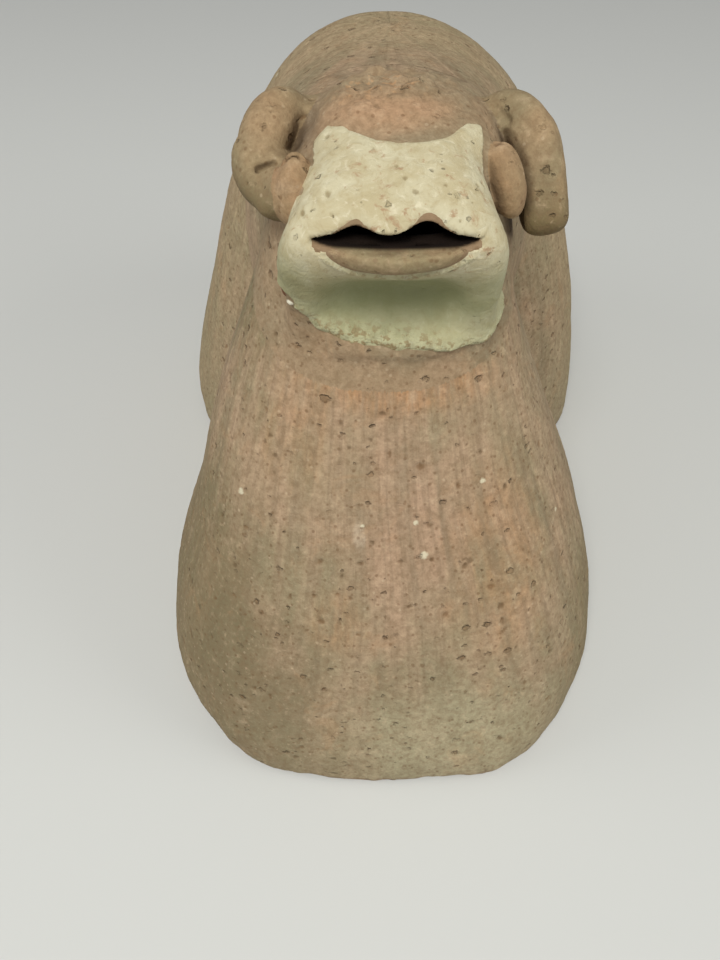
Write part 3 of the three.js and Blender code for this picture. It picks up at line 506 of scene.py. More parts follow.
LOW = ([-40,-24.5,-22,-20.5,-16,-12,-6,0,8,14,18,20.5,22.5,24,26,40], [132,129,123.6,119.6,114.2,112.2,110.9,110.4,109.7,108.7,107.8,108.2,110.6,115,121,126])
BEADS = [(-20.6,-61.4,120.4,1.05,0.6), (-22.4,-60.6,122.4,1.9,0.5), (-23.6,-59.4,123.8,1.4,0.4)]
def slip_region(x, y, z):
    """Edge of the slip coat: below 0 where the slip covers the muzzle and jaw."""
    w = 1.1*fbm(N2, x, y, z, 5.0, 3)
    xx = x + 1.0
    # top edge, across the nose: two corners and a dip in the middle
    top = np.interp(x, [-40,-20,-16,-13,-9,-4,0,5,9,13,16,20,40], [-54,-53,-43.5,-42.5,-46.5,-49.6,-50.6,-50,-48.2,-43.5,-41.6,-45.5,-46])
    a = (y - top)*0.8
    # the sides, in front of the ears
    left = np.interp(z, [100,112,120,126,130,136,141,146], [-62,-62,-61,-57.5,-54.5,-55.0,-57,-43])
    right = np.interp(z, [100,108,116,126,134,139,146], [-50,-50,-49,-47.5,-54,-55.5,-42])
    b = np.where(x < 0, y-left, y-right)
    a = np.maximum(a, 3.1-np.sqrt((x+22.3)**2+(y+60)**2+(z-121.5)**2))
    a = np.maximum(a, np.where(np.abs(x) > 15.5, b, -5))
    # the lower edge, on the front of the neck
    low = np.interp(x, LOW[0], LOW[1])
    c = low - z
    return np.maximum(a, c) + w

def relief(V, n, P, kind):
    """Movement along the normal, in mm, for the outside of a piece; and the masks that the clay's colour reads."""
    x, y, z = V.T
    out = step(2.2, 0.9, np.abs(P["all"]))            # 1 on the outside, 0 inside the hollow
    slip = step(0.4, -0.6, slip_region(x,y,z)) * (z > 104) * (y < -40)
    d = 0.55*fbm(N1, x, y, z, 26.0, 2) + 0.16*fbm(N2, x, y, z, 7.5, 2)
    u, v = wrap(x, y, z)
    head = step(100, 112, z)*step(8, -6, y)
    wipe = (1-head)*out*np.where(y > -30, step(122, 96, z), 1.0)
    lines = 0.10*N3(u/2.3, v/34.0, np.zeros_like(u)+3)+0.06*N3(u/1.1+9, v/22.0, np.zeros_like(u)+8) + 0.17*N3(u/8.5, v/60.0, np.zeros_like(u)+5)
    d = d + wipe*lines
    # the hand-cut foot wanders
    d = d + step(16, 3, z)*0.9*fbm(N4, x, y, z, 13.0, 2)
    rough = 0.07*fbm(N5, x, y, z, 1.6, 2)
    d = d + rough*(1-0.6*slip)
    # finger marks on the head, and a crumbly raised crown
    d = d + head*0.22*fbm(N4, x, y, z, 4.2, 2)*(1-slip)
    cr = np.exp(-(((x+1)/13)**2+((y+31)/11)**2))*step(138,142,z)
    lump = fbm(N5, x, y, z, 3.0, 2)
    crumb = fbm(N2, x, y, z, 1.7, 2)
    d = d + cr*out*(1.25*np.clip(lump,-0.5,1)+0.85*np.clip(crumb,-0.5,0.8)+0.1)
    for bx, by, bz, br, bh in BEADS:
        d = d + bh*step(1.0, 0.35, np.sqrt((x-bx)**2+(y-by)**2+(z-bz)**2)/br)
    pd, hole = pit_depth(V, out*(1-slip))
    d = d + pd
    return d, out, hole, slip

# =====================================================================================
# pieces
# =====================================================================================
made = {}
def emit(name, V, Q, poly, attrs, material, replaces):
    V = (V + SHIFT)*0.001
    me = bpy.data.meshes.new(name)
    nq = len(Q); loops = [Q.reshape(-1)]; totals = [np.full(nq, 4)]
    if poly:
        loops.append(np.concatenate([np.array(p) for p in poly])); totals.append(np.array([len(p) for p in poly]))
    loops = np.concatenate(loops).astype(np.int32); totals = np.concatenate(totals).astype(np.int32)
    me.vertices.add(len(V)); me.vertices.foreach_set("co", V.astype(np.float32).ravel())
    me.loops.add(len(loops)); me.loops.foreach_set("vertex_index", loops)
    me.polygons.add(len(totals)); starts = np.concatenate([[0], np.cumsum(totals)[:-1]]).astype(np.int32)
    me.polygons.foreach_set("loop_start", starts)
    me.update(calc_edges=True); me.validate()
    me.shade_smooth()
    for k, v in attrs.items():
        if v.ndim == 1:
            a = me.attributes.new(k, "FLOAT", "POINT"); a.data.foreach_set("value", v.astype(np.float32))
        else:
            a = me.attributes.new(k, "FLOAT_VECTOR", "POINT"); a.data.foreach_set("vector", v.astype(np.float32).ravel())
    o = bpy.data.objects.new(name, me); bpy.context.scene.collection.objects.link(o)
    me.materials.append(material)
    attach(o, "root"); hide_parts(replaces)
    made[name] = o
    return o

SINK = 0.30
def rim(x, y):
    """Height of the hand-cut foot above the table: it touches in a few places only."""
    return np.clip(0.55+0.8*fbm(N2, x, y, np.zeros_like(x), 22.0, 2)+0.25*N4(x/3.0, y/3.0), 0, 1.6)

def chips(x, y, z):
    """Small losses along the foot: distance to the lost clay."""
    c = ellipsoid(x,y,z,(-50,-101,0),(6,5,5.5)); c = np.minimum(c, ellipsoid(x,y,z,(-43.5,-107.5,1),(3.4,3,3.5)))
    c = np.minimum(c, ellipsoid(x,y,z,(58.5,-84,0),(3.5,3.5,4))); c = np.minimum(c, ellipsoid(x,y,z,(20,-114,0),(6,1.8,2.4)))
    return np.minimum(c, ellipsoid(x,y,z,(-72,30,0),(3,5,4)))

def field(kind):
    def f(x, y, z):
        P = parts(x, y, z); A = P["all"]; ns = neck_side(x, y, z)
        head_near = np.minimum.reduce([P["skull"], P["crown"], P["lip"], P["horn_l"], P["horn_r"], P["ear_l"], P["ear_r"]])
        ground = rim(x, y) - z
        vent = 9.5 - np.hypot(x, z-90)
        if kind == "chest_bell":
            own = P["chest"]; s = np.maximum(own-np.minimum(P["rump"], P["saddle"]), 0)*0.5 + np.maximum(ns, 0)
            g = np.maximum(A+SINK*s*s, own-1.6); g = np.maximum(g, ns-4)
            g = smax(g, -(own+8), 2.0); g = np.maximum(g, np.where(y > -40, vent, -9))
            g = smax(g, -chips(x,y,z), 1.0)
        elif kind == "rump_bell":
            own = P["rump"]; s = np.maximum(own-np.minimum(P["chest"], P["saddle"]), 0)*0.5
            g = np.maximum(A+SINK*s*s, own-1.6); g = smax(g, -(own+8), 2.0)
            g = np.maximum(g, -(P["chest"]+4)); g = np.maximum(g, np.where(y < 30, vent, -9))
            g = smax(g, -chips(x,y,z), 1.0)
        elif kind == "back_saddle":
            own = P["saddle"]; s = np.maximum(own-np.minimum.reduce([P["chest"], P["rump"], head_near]), 0)*0.5
            g = np.maximum(A+SINK*s*s, own-3.0); g = np.maximum(g, -(own+8))
            g = np.maximum(g, -(P["chest"]+4)); g = np.maximum(g, -(P["rump"]+4)); g = np.maximum(g, -(P["skull"]+4))
            g = np.maximum(g, -np.maximum(np.maximum(np.abs(x)-27, z-112), A+6.5))
            g = np.maximum(g, -np.maximum(np.maximum(np.abs(x)-24, z-128), A+6.5)); g = np.maximum(g, 60-z)
        elif kind == "head_shell":
            own = smin(P["chest"], P["skull"], 5)
            s = np.maximum(own-np.minimum.reduce([P["horn_l"], P["horn_r"], P["ear_l"], P["ear_r"], P["crown"], P["lip"], P["saddle"]]), 0)*0.5 + np.maximum(-ns, 0)
            g = np.maximum(A+SINK*s*s, own-1.6); g = np.maximum(g, -ns-4)
            g = smax(g, -(own+6.5), 1.5)
        else:
            own = P[kind]
            rest = [P[k] for k in ("skull","crown","lip","horn_l","horn_r","ear_l","ear_r","chest","saddle") if k != kind]
            s = np.maximum(own-np.minimum.reduce(rest), 0)*0.5
            g = np.maximum(A+SINK*s*s, own-1.6)
            deep = np.minimum(P["skull"], P["chest"])
            g = np.maximum(g, -(deep+3.0))
        if kind in ("chest_bell", "rump_bell"): g = smax(g, ground, 1.4)
        return g
    return f

# painted shade: near black deep inside the mouth slit and on the back of the lower lip under the upper lip, where the
# hollow lies in shade; the relief is left off there
def painted_mouth_shade_mask(V, P):
    x, y, z = V.T
    inside = -(smin(P["skull"], P["chest"], 5))        # depth below the face
    m = step(1.6, 4.2, inside)*(z > 133)*(z < 146)*(y < -40)*(np.abs(x+0.5) < 16.5)
    return np.maximum(m, step(-69.0, -67.8, y)*(z > 134)*(z < 143.5)*(np.abs(x+0.5) < 15.5)*step(0.6, 1.2, inside))

def build(kind, lo, hi, h, levels, material, node, label=None):
    f = field(kind)
    seen = lambda c: np.abs(parts(*c.T)["all"]) < max(1.6, h*0.8)
    V, Q, poly = sculpt(f, lo, hi, h, levels, seen)
    n = normals(V, Q, poly); P = parts(*V.T)
    d, out, hole, slip = relief(V, n, P, kind)
    painted_mouth_shade = painted_mouth_shade_mask(V, P) if kind in ("head_shell", "lip", "chest_bell") else np.zeros(len(V))
    bare = step(7.5, 3.5, np.abs(V[:,2]-138.6))*(V[:,1] < -58)*(np.abs(V[:,0]+0.5) < 17)*(kind == "head_shell")
    W = V + n*(d*(0.35+0.65*out)*(1-painted_mouth_shade))[:,None]
    W[:,2] = np.maximum(W[:,2], 0.0)
    # how closely clay hems the surface in, 2.2 mm and 6 mm out along the normal: this drives the painted crease shade
    q = W + n*2.2; c1 = np.clip(1-parts(*q.T)["all"]/2.2, 0, 1)
    q = W + n*6.0; c2 = np.clip(1-parts(*q.T)["all"]/6.0, 0, 1)
    u, v = wrap(*V.T)
    near = [step(1.0, 0.5, np.sqrt((V[:,0]-b[0])**2+(V[:,1]-b[1])**2+(V[:,2]-b[2])**2)/b[3]) for b in BEADS]
    attrs = {"bead": near[0], "crumb": np.maximum(near[1], near[2]), "pit": hole, "painted_mouth_shade": painted_mouth_shade, "painted_crease_shade": np.clip(0.6*c1+0.4*c2, 0, 1)*out, "slip": slip*out, "inner": 1-out, "bare": bare*out, "wipe": np.stack([u, v, np.zeros_like(u)], 1)}
    o = emit(label or (node+"_clay"), W, Q, poly, attrs, material, node)
    return V, n, Q, P, out

# =====================================================================================
# materials
# =====================================================================================
def lin(r, g, b):
    return tuple(((c/255)/12.92 if c/255 <= 0.04045 else ((c/255+0.055)/1.055)**2.4) for c in (r,g,b)) + (1.0,)

class Graph:
    def __init__(self, name):
        self.m = bpy.data.materials.new(name); self.m.use_nodes = True
        self.t = self.m.node_tree; self.t.nodes.clear()
        self.out = self.t.nodes.new("ShaderNodeOutputMaterial"); self.b = self.t.nodes.new("ShaderNodeBsdfPrincipled")
        self.t.links.new(self.b.outputs[0], self.out.inputs[0])
        tc = self.t.nodes.new("ShaderNodeTexCoord")
        self.p = self.vmath("SCALE", tc.outputs["Object"], scale=1000.0)   # millimetres
    def link(self, v, sock):
        if isinstance(v, bpy.types.NodeSocket): self.t.links.new(v, sock)
        else: sock.default_value = v
    def vmath(self, op, a, b=None, scale=None):
        n = self.t.nodes.new("ShaderNodeVectorMath"); n.operation = op; self.link(a, n.inputs[0])
        if b is not None: self.link(b, n.inputs[1])
        if scale is not None: self.link(scale, n.inputs["Scale"])
        return n.outputs["Value"] if op in ("LENGTH","DISTANCE","DOT_PRODUCT") else n.outputs["Vector"]
    def math(self, op, a, b=0.0, c=None, clamp=False):
        n = self.t.nodes.new("ShaderNodeMath"); n.operation = op; n.use_clamp = clamp
        self.link(a, n.inputs[0]); self.link(b, n.inputs[1])
        if c is not None: self.link(c, n.inputs[2])
        return n.outputs[0]
    def attr(self, name, vector=False):
        n = self.t.nodes.new("ShaderNodeAttribute"); n.attribute_name = name
        return n.outputs["Vector" if vector else "Fac"]
    def noise(self, vec, wave, detail=3.0, rough=0.5, dist=0.0):
        n = self.t.nodes.new("ShaderNodeTexNoise"); self.link(vec, n.inputs["Vector"]); n.inputs["Scale"].default_value = 1.0/wave
        n.inputs["Detail"].default_value = detail; n.inputs["Roughness"].default_value = rough; n.inputs["Distortion"].default_value = dist
        return n.outputs["Fac"]
    def noisec(self, vec, wave, detail=2.0):
        n = self.t.nodes.new("ShaderNodeTexNoise"); self.link(vec, n.inputs["Vector"]); n.inputs["Scale"].default_value = 1.0/wave
        n.inputs["Detail"].default_value = detail
        return n.outputs["Color"]
    def voronoi(self, vec, wave, rand=1.0):
        n = self.t.nodes.new("ShaderNodeTexVoronoi"); self.link(vec, n.inputs["Vector"]); n.inputs["Scale"].default_value = 1.0/wave
        n.inputs["Randomness"].default_value = rand
        return n.outputs["Distance"], n.outputs["Color"]
    def ramp(self, v, a, b, lo=0.0, hi=1.0, smooth=True):
        n = self.t.nodes.new("ShaderNodeMapRange"); n.interpolation_type = "SMOOTHSTEP" if smooth else "LINEAR"; n.clamp = True
        self.link(v, n.inputs["Value"]); n.inputs["From Min"].default_value = a; n.inputs["From Max"].default_value = b
        n.inputs["To Min"].default_value = lo; n.inputs["To Max"].default_value = hi
        return n.outputs["Result"]
    def mix(self, f, a, b, mode="MIX"):
        n = self.t.nodes.new("ShaderNodeMix"); n.data_type = "RGBA"; n.blend_type = mode
        self.link(f, n.inputs["Factor"]); self.link(a, n.inputs[6]); self.link(b, n.inputs[7])
        return n.outputs[2]
    def sep(self, v):
        n = self.t.nodes.new("ShaderNodeSeparateXYZ"); self.link(v, n.inputs[0]); return n.outputs
    def comb(self, x, y, z):
        n = self.t.nodes.new("ShaderNodeCombineXYZ"); self.link(x, n.inputs[0]); self.link(y, n.inputs[1]); self.link(z, n.inputs[2]); return n.outputs[0]
    def scaled(self, v, s):
        return self.vmath("MULTIPLY", v, s)
    def blob(self, centre, radii, soft=1.0):
        """1 inside a soft ellipsoid, its edge broken by noise."""
        q = self.vmath("MULTIPLY", self.vmath("SUBTRACT", self.p, centre), tuple(1/r for r in radii))
        d = self.vmath("LENGTH", q)
        w = self.math("ADD", d, self.math("MULTIPLY", self.math("SUBTRACT", self.noise(self.p, 9.0, 3), 0.5), 0.9))
        return self.ramp(w, 1.0+0.35*soft, 1.0-0.55*soft)
    def bump(self, height, dist, strength=1.0, normal=None):
        n = self.t.nodes.new("ShaderNodeBump"); n.inputs["Strength"].default_value = strength; n.inputs["Distance"].default_value = dist
        self.link(height, n.inputs["Height"])
        if normal is not None: self.link(normal, n.inputs["Normal"])
        return n.outputs[0]

def at(x, y, z):
    """A point of the modelling frame in the material's millimetres."""
    return (x+SHIFT[0], y+SHIFT[1], z)

def pits_of(g, vec, wave, share, r0, r1, soft=0.22, warp=1.5):
    """Scattered irregular pits: mask, 1 in a pit."""
    w = g.vmath("ADD", vec, g.vmath("SCALE", g.vmath("SUBTRACT", g.noisec(g.p, 1.0, 2), (0.5,0.5,0.5)), scale=warp))
    d, c = g.voronoi(w, wave)
    s = g.sep(c)
    size = g.ramp(s[0], 1-share, 1.0, r0, r1, smooth=False)
    on = g.ramp(s[0], 1-share-0.001, 1-share, 0.0, 1.0, smooth=False)
    m = g.ramp(g.math("SUBTRACT", g.math("MULTIPLY", d, wave), size), soft, -soft)
    deep = g.ramp(s[1], 0.0, 1.0, 0.45, 1.0, smooth=False)
    return g.math("MULTIPLY", g.math("MULTIPLY", m, on), deep)

SPECKS = [(-35.0,-71.6,73.2,0.75), (20.9,-74.0,79.8,0.62), (5.7,-81.1,73.4,0.55), (-6.4,-81.6,72.8,0.45), (7.8,-85.0,66.4,0.85),
 (41.8,-68.6,62.6,0.55), (-20.6,-61.7,120.8,0.75), (-31.0,45.3,118.5,0.8), (15.1,-10.3,139.2,0.5), (-52,-66,40,0.5), (30,-88,48,0.45)]

def clay(name, tone="body"):
    g = Graph(name); p = g.p; P3 = g.sep(p)
    tan, pink, orange = lin(156,142,113), lin(172,147,119), lin(184,138,98)
    if tone == "head": tan, pink = lin(147,131,105), lin(164,138,110)
    if tone == "horn": tan, pink = lin(143,129,100), lin(160,136,104)
    if tone == "ear": tan, pink = lin(156,132,100), lin(170,134,102)
    if tone == "lip": tan, pink = lin(148,134,102), lin(160,134,102)
    body = tone == "body"
    big = g.noise(p, 24.0, 4, 0.55, 0.6)
    col = g.mix(g.ramp(big, 0.36, 0.64), tan, pink)
    wp = g.attr("wipe", True)
    st1 = g.noise(g.scaled(wp, (1/1.9, 1/24.0, 1.0)), 1.0, 3, 0.6)
    st2 = g.noise(g.scaled(wp, (1/6.5, 1/50.0, 1.0)), 1.0, 2, 0.5)
    if body:
        # the pink middle of the chest, orange where the fire caught it
        mid = g.blob(at(3,-84,72), (14,24,34)); under = g.blob(at(1,-66,101), (24,14,5.5))
        col = g.mix(g.math("MULTIPLY", mid, 0.55), col, lin(186,151,126))
        z2 = g.blob(at(27,-86,66), (13,22,26)); z4 = g.blob(at(-22,-70,90), (10,14,12)); z5 = g.blob(at(-13,-92,50), (7,12,8)); z6 = g.blob(at(29,-94,45), (6,10,7))
        m = g.math("MAXIMUM", g.math("MULTIPLY", under, 0.85), g.math("MULTIPLY", z2, 0.50))
        m = g.math("MAXIMUM", m, g.math("MAXIMUM", g.math("MULTIPLY", z4, 0.4), g.math("MULTIPLY", g.math("MAXIMUM", z5, z6), 0.5)))
        m = g.math("MULTIPLY", m, g.ramp(g.noise(g.scaled(wp, (1/4.0, 1/9.0, 1.0)), 1.0, 4, 0.65), 0.34, 0.62, 0.2, 1.0))
        col = g.mix(m, col, orange)
        col = g.mix(g.ramp(st2, 0.42, 0.66, 0.0, 0.38), col, lin(190,158,132))
        col = g.mix(g.ramp(st2, 0.50, 0.30, 0.0, 0.40), col, lin(132,120,98))
        col = g.mix(g.ramp(st1, 0.56, 0.36, 0.0, 0.40), col, lin(130,110,88))
        low = g.math("MULTIPLY", g.ramp(P3[2], 56.0, 8.0), g.ramp(big, 0.7, 0.4, 0.75, 1.0))
        col = g.mix(g.math("MULTIPLY", low, 0.60), col, lin(150,140,112))
        # painted shade: the lower chest darker and greyer on the ram's right
        right_chest_shade = g.blob(at(-50,-72,34), (24,36,48)); col = g.mix(g.math("MULTIPLY", right_chest_shade, 0.62), col, lin(116,106,76))
        back = g.ramp(P3[1], 2.0, 30.0); col = g.mix(g.math("MULTIPLY", back, 0.40), col, lin(176,160,124))
        # painted shade at the foot on the ram's right
        right_foot_shade = g.blob(at(-34,-92,20), (19,24,36)); col = g.mix(g.math("MULTIPLY", right_foot_shade, 0.58), col, lin(114,103,78))
        # painted light: a lighter pool low on the front of the chest
        front_light_pool = g.blob(at(16,-104,14), (27,20,20)); col = g.mix(g.math("MULTIPLY", front_light_pool, 0.50), col, lin(184,175,144))
        smear = g.blob(at(-7.2,-82.2,70.0), (1.5,4,3.6), 0.6); col = g.mix(g.math("MULTIPLY", smear, 0.40), col, lin(206,188,166))
        # painted shade, tinted olive as a painted green reflection, on the neck's side under the ram's right horn
        right_neck_shade = g.blob(at(-31,-44,112), (9,17,19)); col = g.mix(g.math("MULTIPLY", right_neck_shade, 0.50), col, lin(108,102,70))
        # painted shade on the chest's lower edge on the ram's left, where it rounds under
        left_rim_shade = g.blob(at(58,-62,14), (14,40,34)); col = g.mix(g.math("MULTIPLY", left_rim_shade, 0.5), col, lin(120,110,76))
    cloud = g.ramp(g.noise(p, 12.0, 4, 0.62, 1.2), 0.55, 0.72)
    col = g.mix(g.math("MULTIPLY", cloud, 0.22), col, orange)
    if tone == "head":
        zf = g.blob(at(-1,-42,147), (14,7,6)); col = g.mix(g.math("MULTIPLY", zf, 0.5), col, lin(190,146,112))
        zc = g.blob(at(-3,-34.5,149.5), (10,5,4)); crumbs = g.ramp(g.noise(p, 1.6, 3, 0.6), 0.53, 0.63)
        col = g.mix(g.math("MULTIPLY", g.math("MULTIPLY", zc, crumbs), 0.6), col, lin(196,150,108))
        dark = g.ramp(g.noise(g.vmath("ADD", p, (5.0,9.0,2.0)), 2.3, 3, 0.6), 0.54, 0.66); zd = g.blob(at(1,-35,149), (14,8,6)); col = g.mix(g.math("MULTIPLY", g.math("MULTIPLY", zd, dark), 0.6), col, lin(112,90,66))
        # painted shade in the troughs between the forehead and the horns, fainter on the ram's left
        zt = g.math("MAXIMUM", g.blob(at(-19,-35,146), (4.5,13,7)), g.math("MULTIPLY", g.blob(at(21.5,-34,145), (3,12,6)), 0.5))
        col = g.mix(g.math("MULTIPLY", zt, 0.58), col, lin(120,108,92))
    if tone == "horn":
        # the clay's orange, made lighter on the top of each horn as a painted highlight
        z6 = g.math("MAXIMUM", g.blob(at(-26,-37,146), (4.5,9,6)), g.math("MULTIPLY", g.blob(at(28,-36,143), (4,8,7)), 0.7))
        col = g.mix(g.math("MULTIPLY", z6, 0.45), col, lin(184,148,114))
        # painted shade, tinted olive as a painted green reflection, under the lower end of the ram's right horn
        right_horn_end_shade = g.math("MULTIPLY", g.ramp(P3[2], 141.5, 135.0), g.ramp(P3[0], 0.0, -4.0))
        col = g.mix(g.math("MULTIPLY", right_horn_end_shade, 0.75), col, lin(104,91,60))
        # painted shade, tinted olive as a painted green reflection, under the lower end of the ram's left horn
        left_horn_end_shade = g.math("MULTIPLY", g.ramp(P3[2], 138.0, 127.0), g.ramp(P3[0], 0.0, 4.0))
        col = g.mix(g.math("MULTIPLY", left_horn_end_shade, 0.85), col, lin(104,90,58))
        # painted shade: near black in the gap at the inner lower end of the ram's left horn
        horn_gap_shade = g.blob(at(25.6,-43.0,126), (2.6,4.5,5), 0.6); col = g.mix(g.math("MULTIPLY", horn_gap_shade, 0.7), col, lin(58,46,30))
    # mottling from hand and fire
    m1 = g.noise(p, 5.0, 4, 0.6, 0.4); m2 = g.noise(p, 1.5, 3, 0.6)
    col = g.mix(g.ramp(m1, 0.60, 0.34, 0.0, 0.26), col, lin(134,117,90))
    col = g.mix(g.ramp(m1, 0.54, 0.74, 0.0, 0.26), col, lin(204,178,148))
    col = g.mix(g.ramp(m2, 0.58, 0.32, 0.0, 0.40), col, lin(124,100,74))
    col = g.mix(g.ramp(m2, 0.56, 0.76, 0.0, 0.30), col, lin(206,178,146))
    gr = g.noise(p, 0.55, 2, 0.6)
    col = g.mix(g.ramp(gr, 0.60, 0.36, 0.0, 0.16), col, lin(112,88,64))
    # grit
    d2, c2 = g.voronoi(p, 1.3); c2 = g.sep(c2)
    col = g.mix(g.math("MULTIPLY", g.math("MULTIPLY", g.ramp(d2, 0.42, 0.16), g.ramp(c2[1], 0.80, 0.82)), 0.45), col, lin(104,74,48))
    col = g.mix(g.math("MULTIPLY", g.math("MULTIPLY", g.ramp(d2, 0.36, 0.16), g.ramp(c2[2], 0.94, 0.96)), 0.28), col, lin(206,184,156))
    # pits, darkened inside with painted shade in the hollows
    hv = g.scaled(p, (0.8, 0.8, 1.15))
    here = g.ramp(g.noise(p, 14.0, 2), 0.34, 0.60, 0.25, 1.0)
    pa = pits_of(g, hv, 4.4, 0.50, 0.30, 0.80, 0.26); pb = pits_of(g, g.vmath("ADD", hv, (31.0,7.0,3.0)), 2.6, 0.42, 0.16, 0.50, 0.22)
    pit = g.math("MAXIMUM", pa, g.math("MULTIPLY", pb, here))
    pit = g.math("MULTIPLY", pit, g.ramp(g.attr("inner"), 0.6, 0.3))
    allpit = g.math("MAXIMUM", g.math("MULTIPLY", pit, 0.72), g.math("MULTIPLY", g.ramp(g.attr("pit"), 0.1, 1.0), 0.80))
    pit_shade_tint = g.mix(g.ramp(g.noise(p, 6.0, 1), 0.4, 0.6), lin(88,68,46), lin(112,80,50))
    col = g.mix(g.math("MULTIPLY", allpit, 0.72), col, pit_shade_tint)
    # lime specks
    if body:
        for x, y, z, r in SPECKS:
            q = g.vmath("LENGTH", g.vmath("SUBTRACT", g.p, at(x,y,z)))
            q = g.math("ADD", q, g.math("MULTIPLY", g.math("SUBTRACT", g.noise(p, 0.8, 2), 0.5), 1.0))
            col = g.mix(g.math("MULTIPLY", g.ramp(q, r*1.45, r*0.55), 0.80), col, lin(216,206,178))
    # soil in the creases
    # painted shade in the creases: darker where clay hems the surface in along its normal
    col = g.mix(g.ramp(g.attr("painted_crease_shade"), 0.38, 0.92, 0.0, 0.65), col, lin(78,60,42))
    if tone == "head":
        col = g.mix(g.math("MULTIPLY", g.attr("bare"), 0.6), col, lin(134,108,82))
        col = g.mix(g.ramp(g.attr("bead"), 0.4, 0.8), col, lin(226,218,198)); col = g.mix(g.math("MULTIPLY", g.ramp(g.attr("crumb"), 0.2, 0.6), 0.85), col, lin(104,62,40))
    if body:
        # painted contact shadow: darker, redder clay along the bottom 1 to 3 mm of the foot
        foot_contact_shadow = g.ramp(g.math("ADD", P3[2], g.math("MULTIPLY", g.math("SUBTRACT", g.noise(p, 5.0, 2), 0.5), 2.6)), 2.6, 0.8)
        col = g.mix(g.math("MULTIPLY", foot_contact_shadow, 0.6), col, lin(128,88,66))
        chip = g.blob(at(-22.5,-60,122), (3.2,4,3.6), 0.5); col = g.mix(g.math("MULTIPLY", chip, 0.75), col, lin(112,72,46))
    # painted shade: the inside of the mouth near black
    col = g.mix(g.attr("painted_mouth_shade"), col, lin(24,14,8))
    g.link(col, g.b.inputs["Base Color"])
    g.link(g.ramp(gr, 0.3, 0.7, 0.86, 0.98), g.b.inputs["Roughness"])
    g.b.inputs["Specular IOR Level"].default_value = 0.2
    h1 = g.math("ADD", g.math("MULTIPLY", gr, 0.25), g.math("MULTIPLY", st1, 0.5 if body else 0.0))
    h1 = g.math("ADD", h1, g.math("MULTIPLY", m2, 0.7))
    h1 = g.math("SUBTRACT", h1, g.math("MULTIPLY", pit, 1.8))
    g.link(g.bump(h1, 0.00045, 0.9), g.b.inputs["Normal"])
    return g.m

def slip_material(name):
    g = Graph(name); p = g.p; P3 = g.sep(p)
    cream, warm, olive, bare = lin(200,190,160), lin(186,172,138), lin(108,112,72), lin(164,130,100)
    n1 = g.noise(p, 7.0, 4, 0.6, 0.5)
    col = g.mix(g.ramp(n1, 0.36, 0.66), cream, warm)
    mott = g.noise(p, 2.0, 4, 0.65, 0.8)
    col = g.mix(g.ramp(mott, 0.50, 0.72, 0.0, 0.5), col, lin(170,152,116))
    col = g.mix(g.ramp(mott, 0.46, 0.28, 0.0, 0.5), col, lin(226,216,190))
    # brushed thin: the clay shows through
    thin = g.ramp(g.noise(p, 3.2, 5, 0.7, 0.6), 0.57, 0.69)
    near = g.attr("edge")
    col = g.mix(g.math("MULTIPLY", thin, g.ramp(near, 0.0, 1.0, 0.30, 0.85)), col, bare)
    # painted shade and a painted green reflection in the hollow under the lip
    chin_shade = g.blob(at(0.5,-62,122.0), (20,10,8.2), 0.9)
    col = g.mix(g.math("MULTIPLY", chin_shade, 0.80), col, olive)
    # painted shade, tinted olive as a painted green reflection: the slip darker lower down the muzzle
    side = g.ramp(P3[2], 137.0, 127.0, 0.0, 0.48); col = g.mix(side, col, lin(142,144,106))
    # painted shade with a painted green reflection on the slip of the cheek on the ram's right
    cheek_shade = g.blob(at(-20.5,-60,128), (6,9,9)); col = g.mix(g.math("MULTIPLY", cheek_shade, 0.55), col, lin(124,122,86))
    crust = g.attr("crust")
    col = g.mix(g.math("MULTIPLY", crust, g.ramp(g.noise(p, 1.9, 3), 0.40, 0.62, 0.15, 0.85)), col, lin(186,182,146))
    col = g.mix(g.math("MULTIPLY", g.math("MULTIPLY", crust, g.ramp(g.noise(p, 1.3, 3), 0.52, 0.62)), 0.75), col, lin(138,114,78))
    # pits in the slip, darkened inside with painted shade, fainter low on the muzzle
    pa = pits_of(g, p, 4.0, 0.40, 0.22, 0.62, 0.2); pb = pits_of(g, g.vmath("ADD", p, (11.0,3.0,5.0)), 2.1, 0.30, 0.14, 0.34, 0.18)
    pit = g.math("MAXIMUM", pa, pb)
    pit = g.math("MULTIPLY", pit, g.ramp(P3[2], 128.0, 134.0, 0.35, 1.0))
    allpit = g.math("MAXIMUM", g.math("MULTIPLY", pit, 0.6), g.ramp(g.attr("pit"), 0.3, 1.0, 0.0, 0.75))
    col = g.mix(g.math("MULTIPLY", allpit, 0.75), col, lin(118,98,62))
    # painted shade in the slip's creases
    col = g.mix(g.ramp(g.attr("painted_crease_shade"), 0.5, 1.0, 0.0, 0.5), col, lin(112,94,62))
    g.link(col, g.b.inputs["Base Color"])
    g.link(g.ramp(mott, 0.3, 0.7, 0.80, 0.96), g.b.inputs["Roughness"])
    g.b.inputs["Specular IOR Level"].default_value = 0.22
    h = g.math("ADD", g.math("MULTIPLY", mott, 0.9), g.math("MULTIPLY", g.noise(p, 0.8, 3, 0.6), 0.35))
    h = g.math("ADD", h, g.math("MULTIPLY", g.math("MULTIPLY", crust, g.noise(p, 1.2, 3, 0.7)), 2.4))
    h = g.math("SUBTRACT", h, g.math("MULTIPLY", pit, 1.5))
    g.link(g.bump(h, 0.0004, 0.9), g.b.inputs["Normal"])
    return g.m

body_clay = clay("fired_clay_body", "body")
head_clay = clay("fired_clay_head", "head")
horn_clay = clay("fired_clay_horn", "horn")
ear_clay = clay("fired_clay_ear", "ear")
lip_clay = clay("fired_clay_lip", "lip")
slip_coat = slip_material("cream_slip")

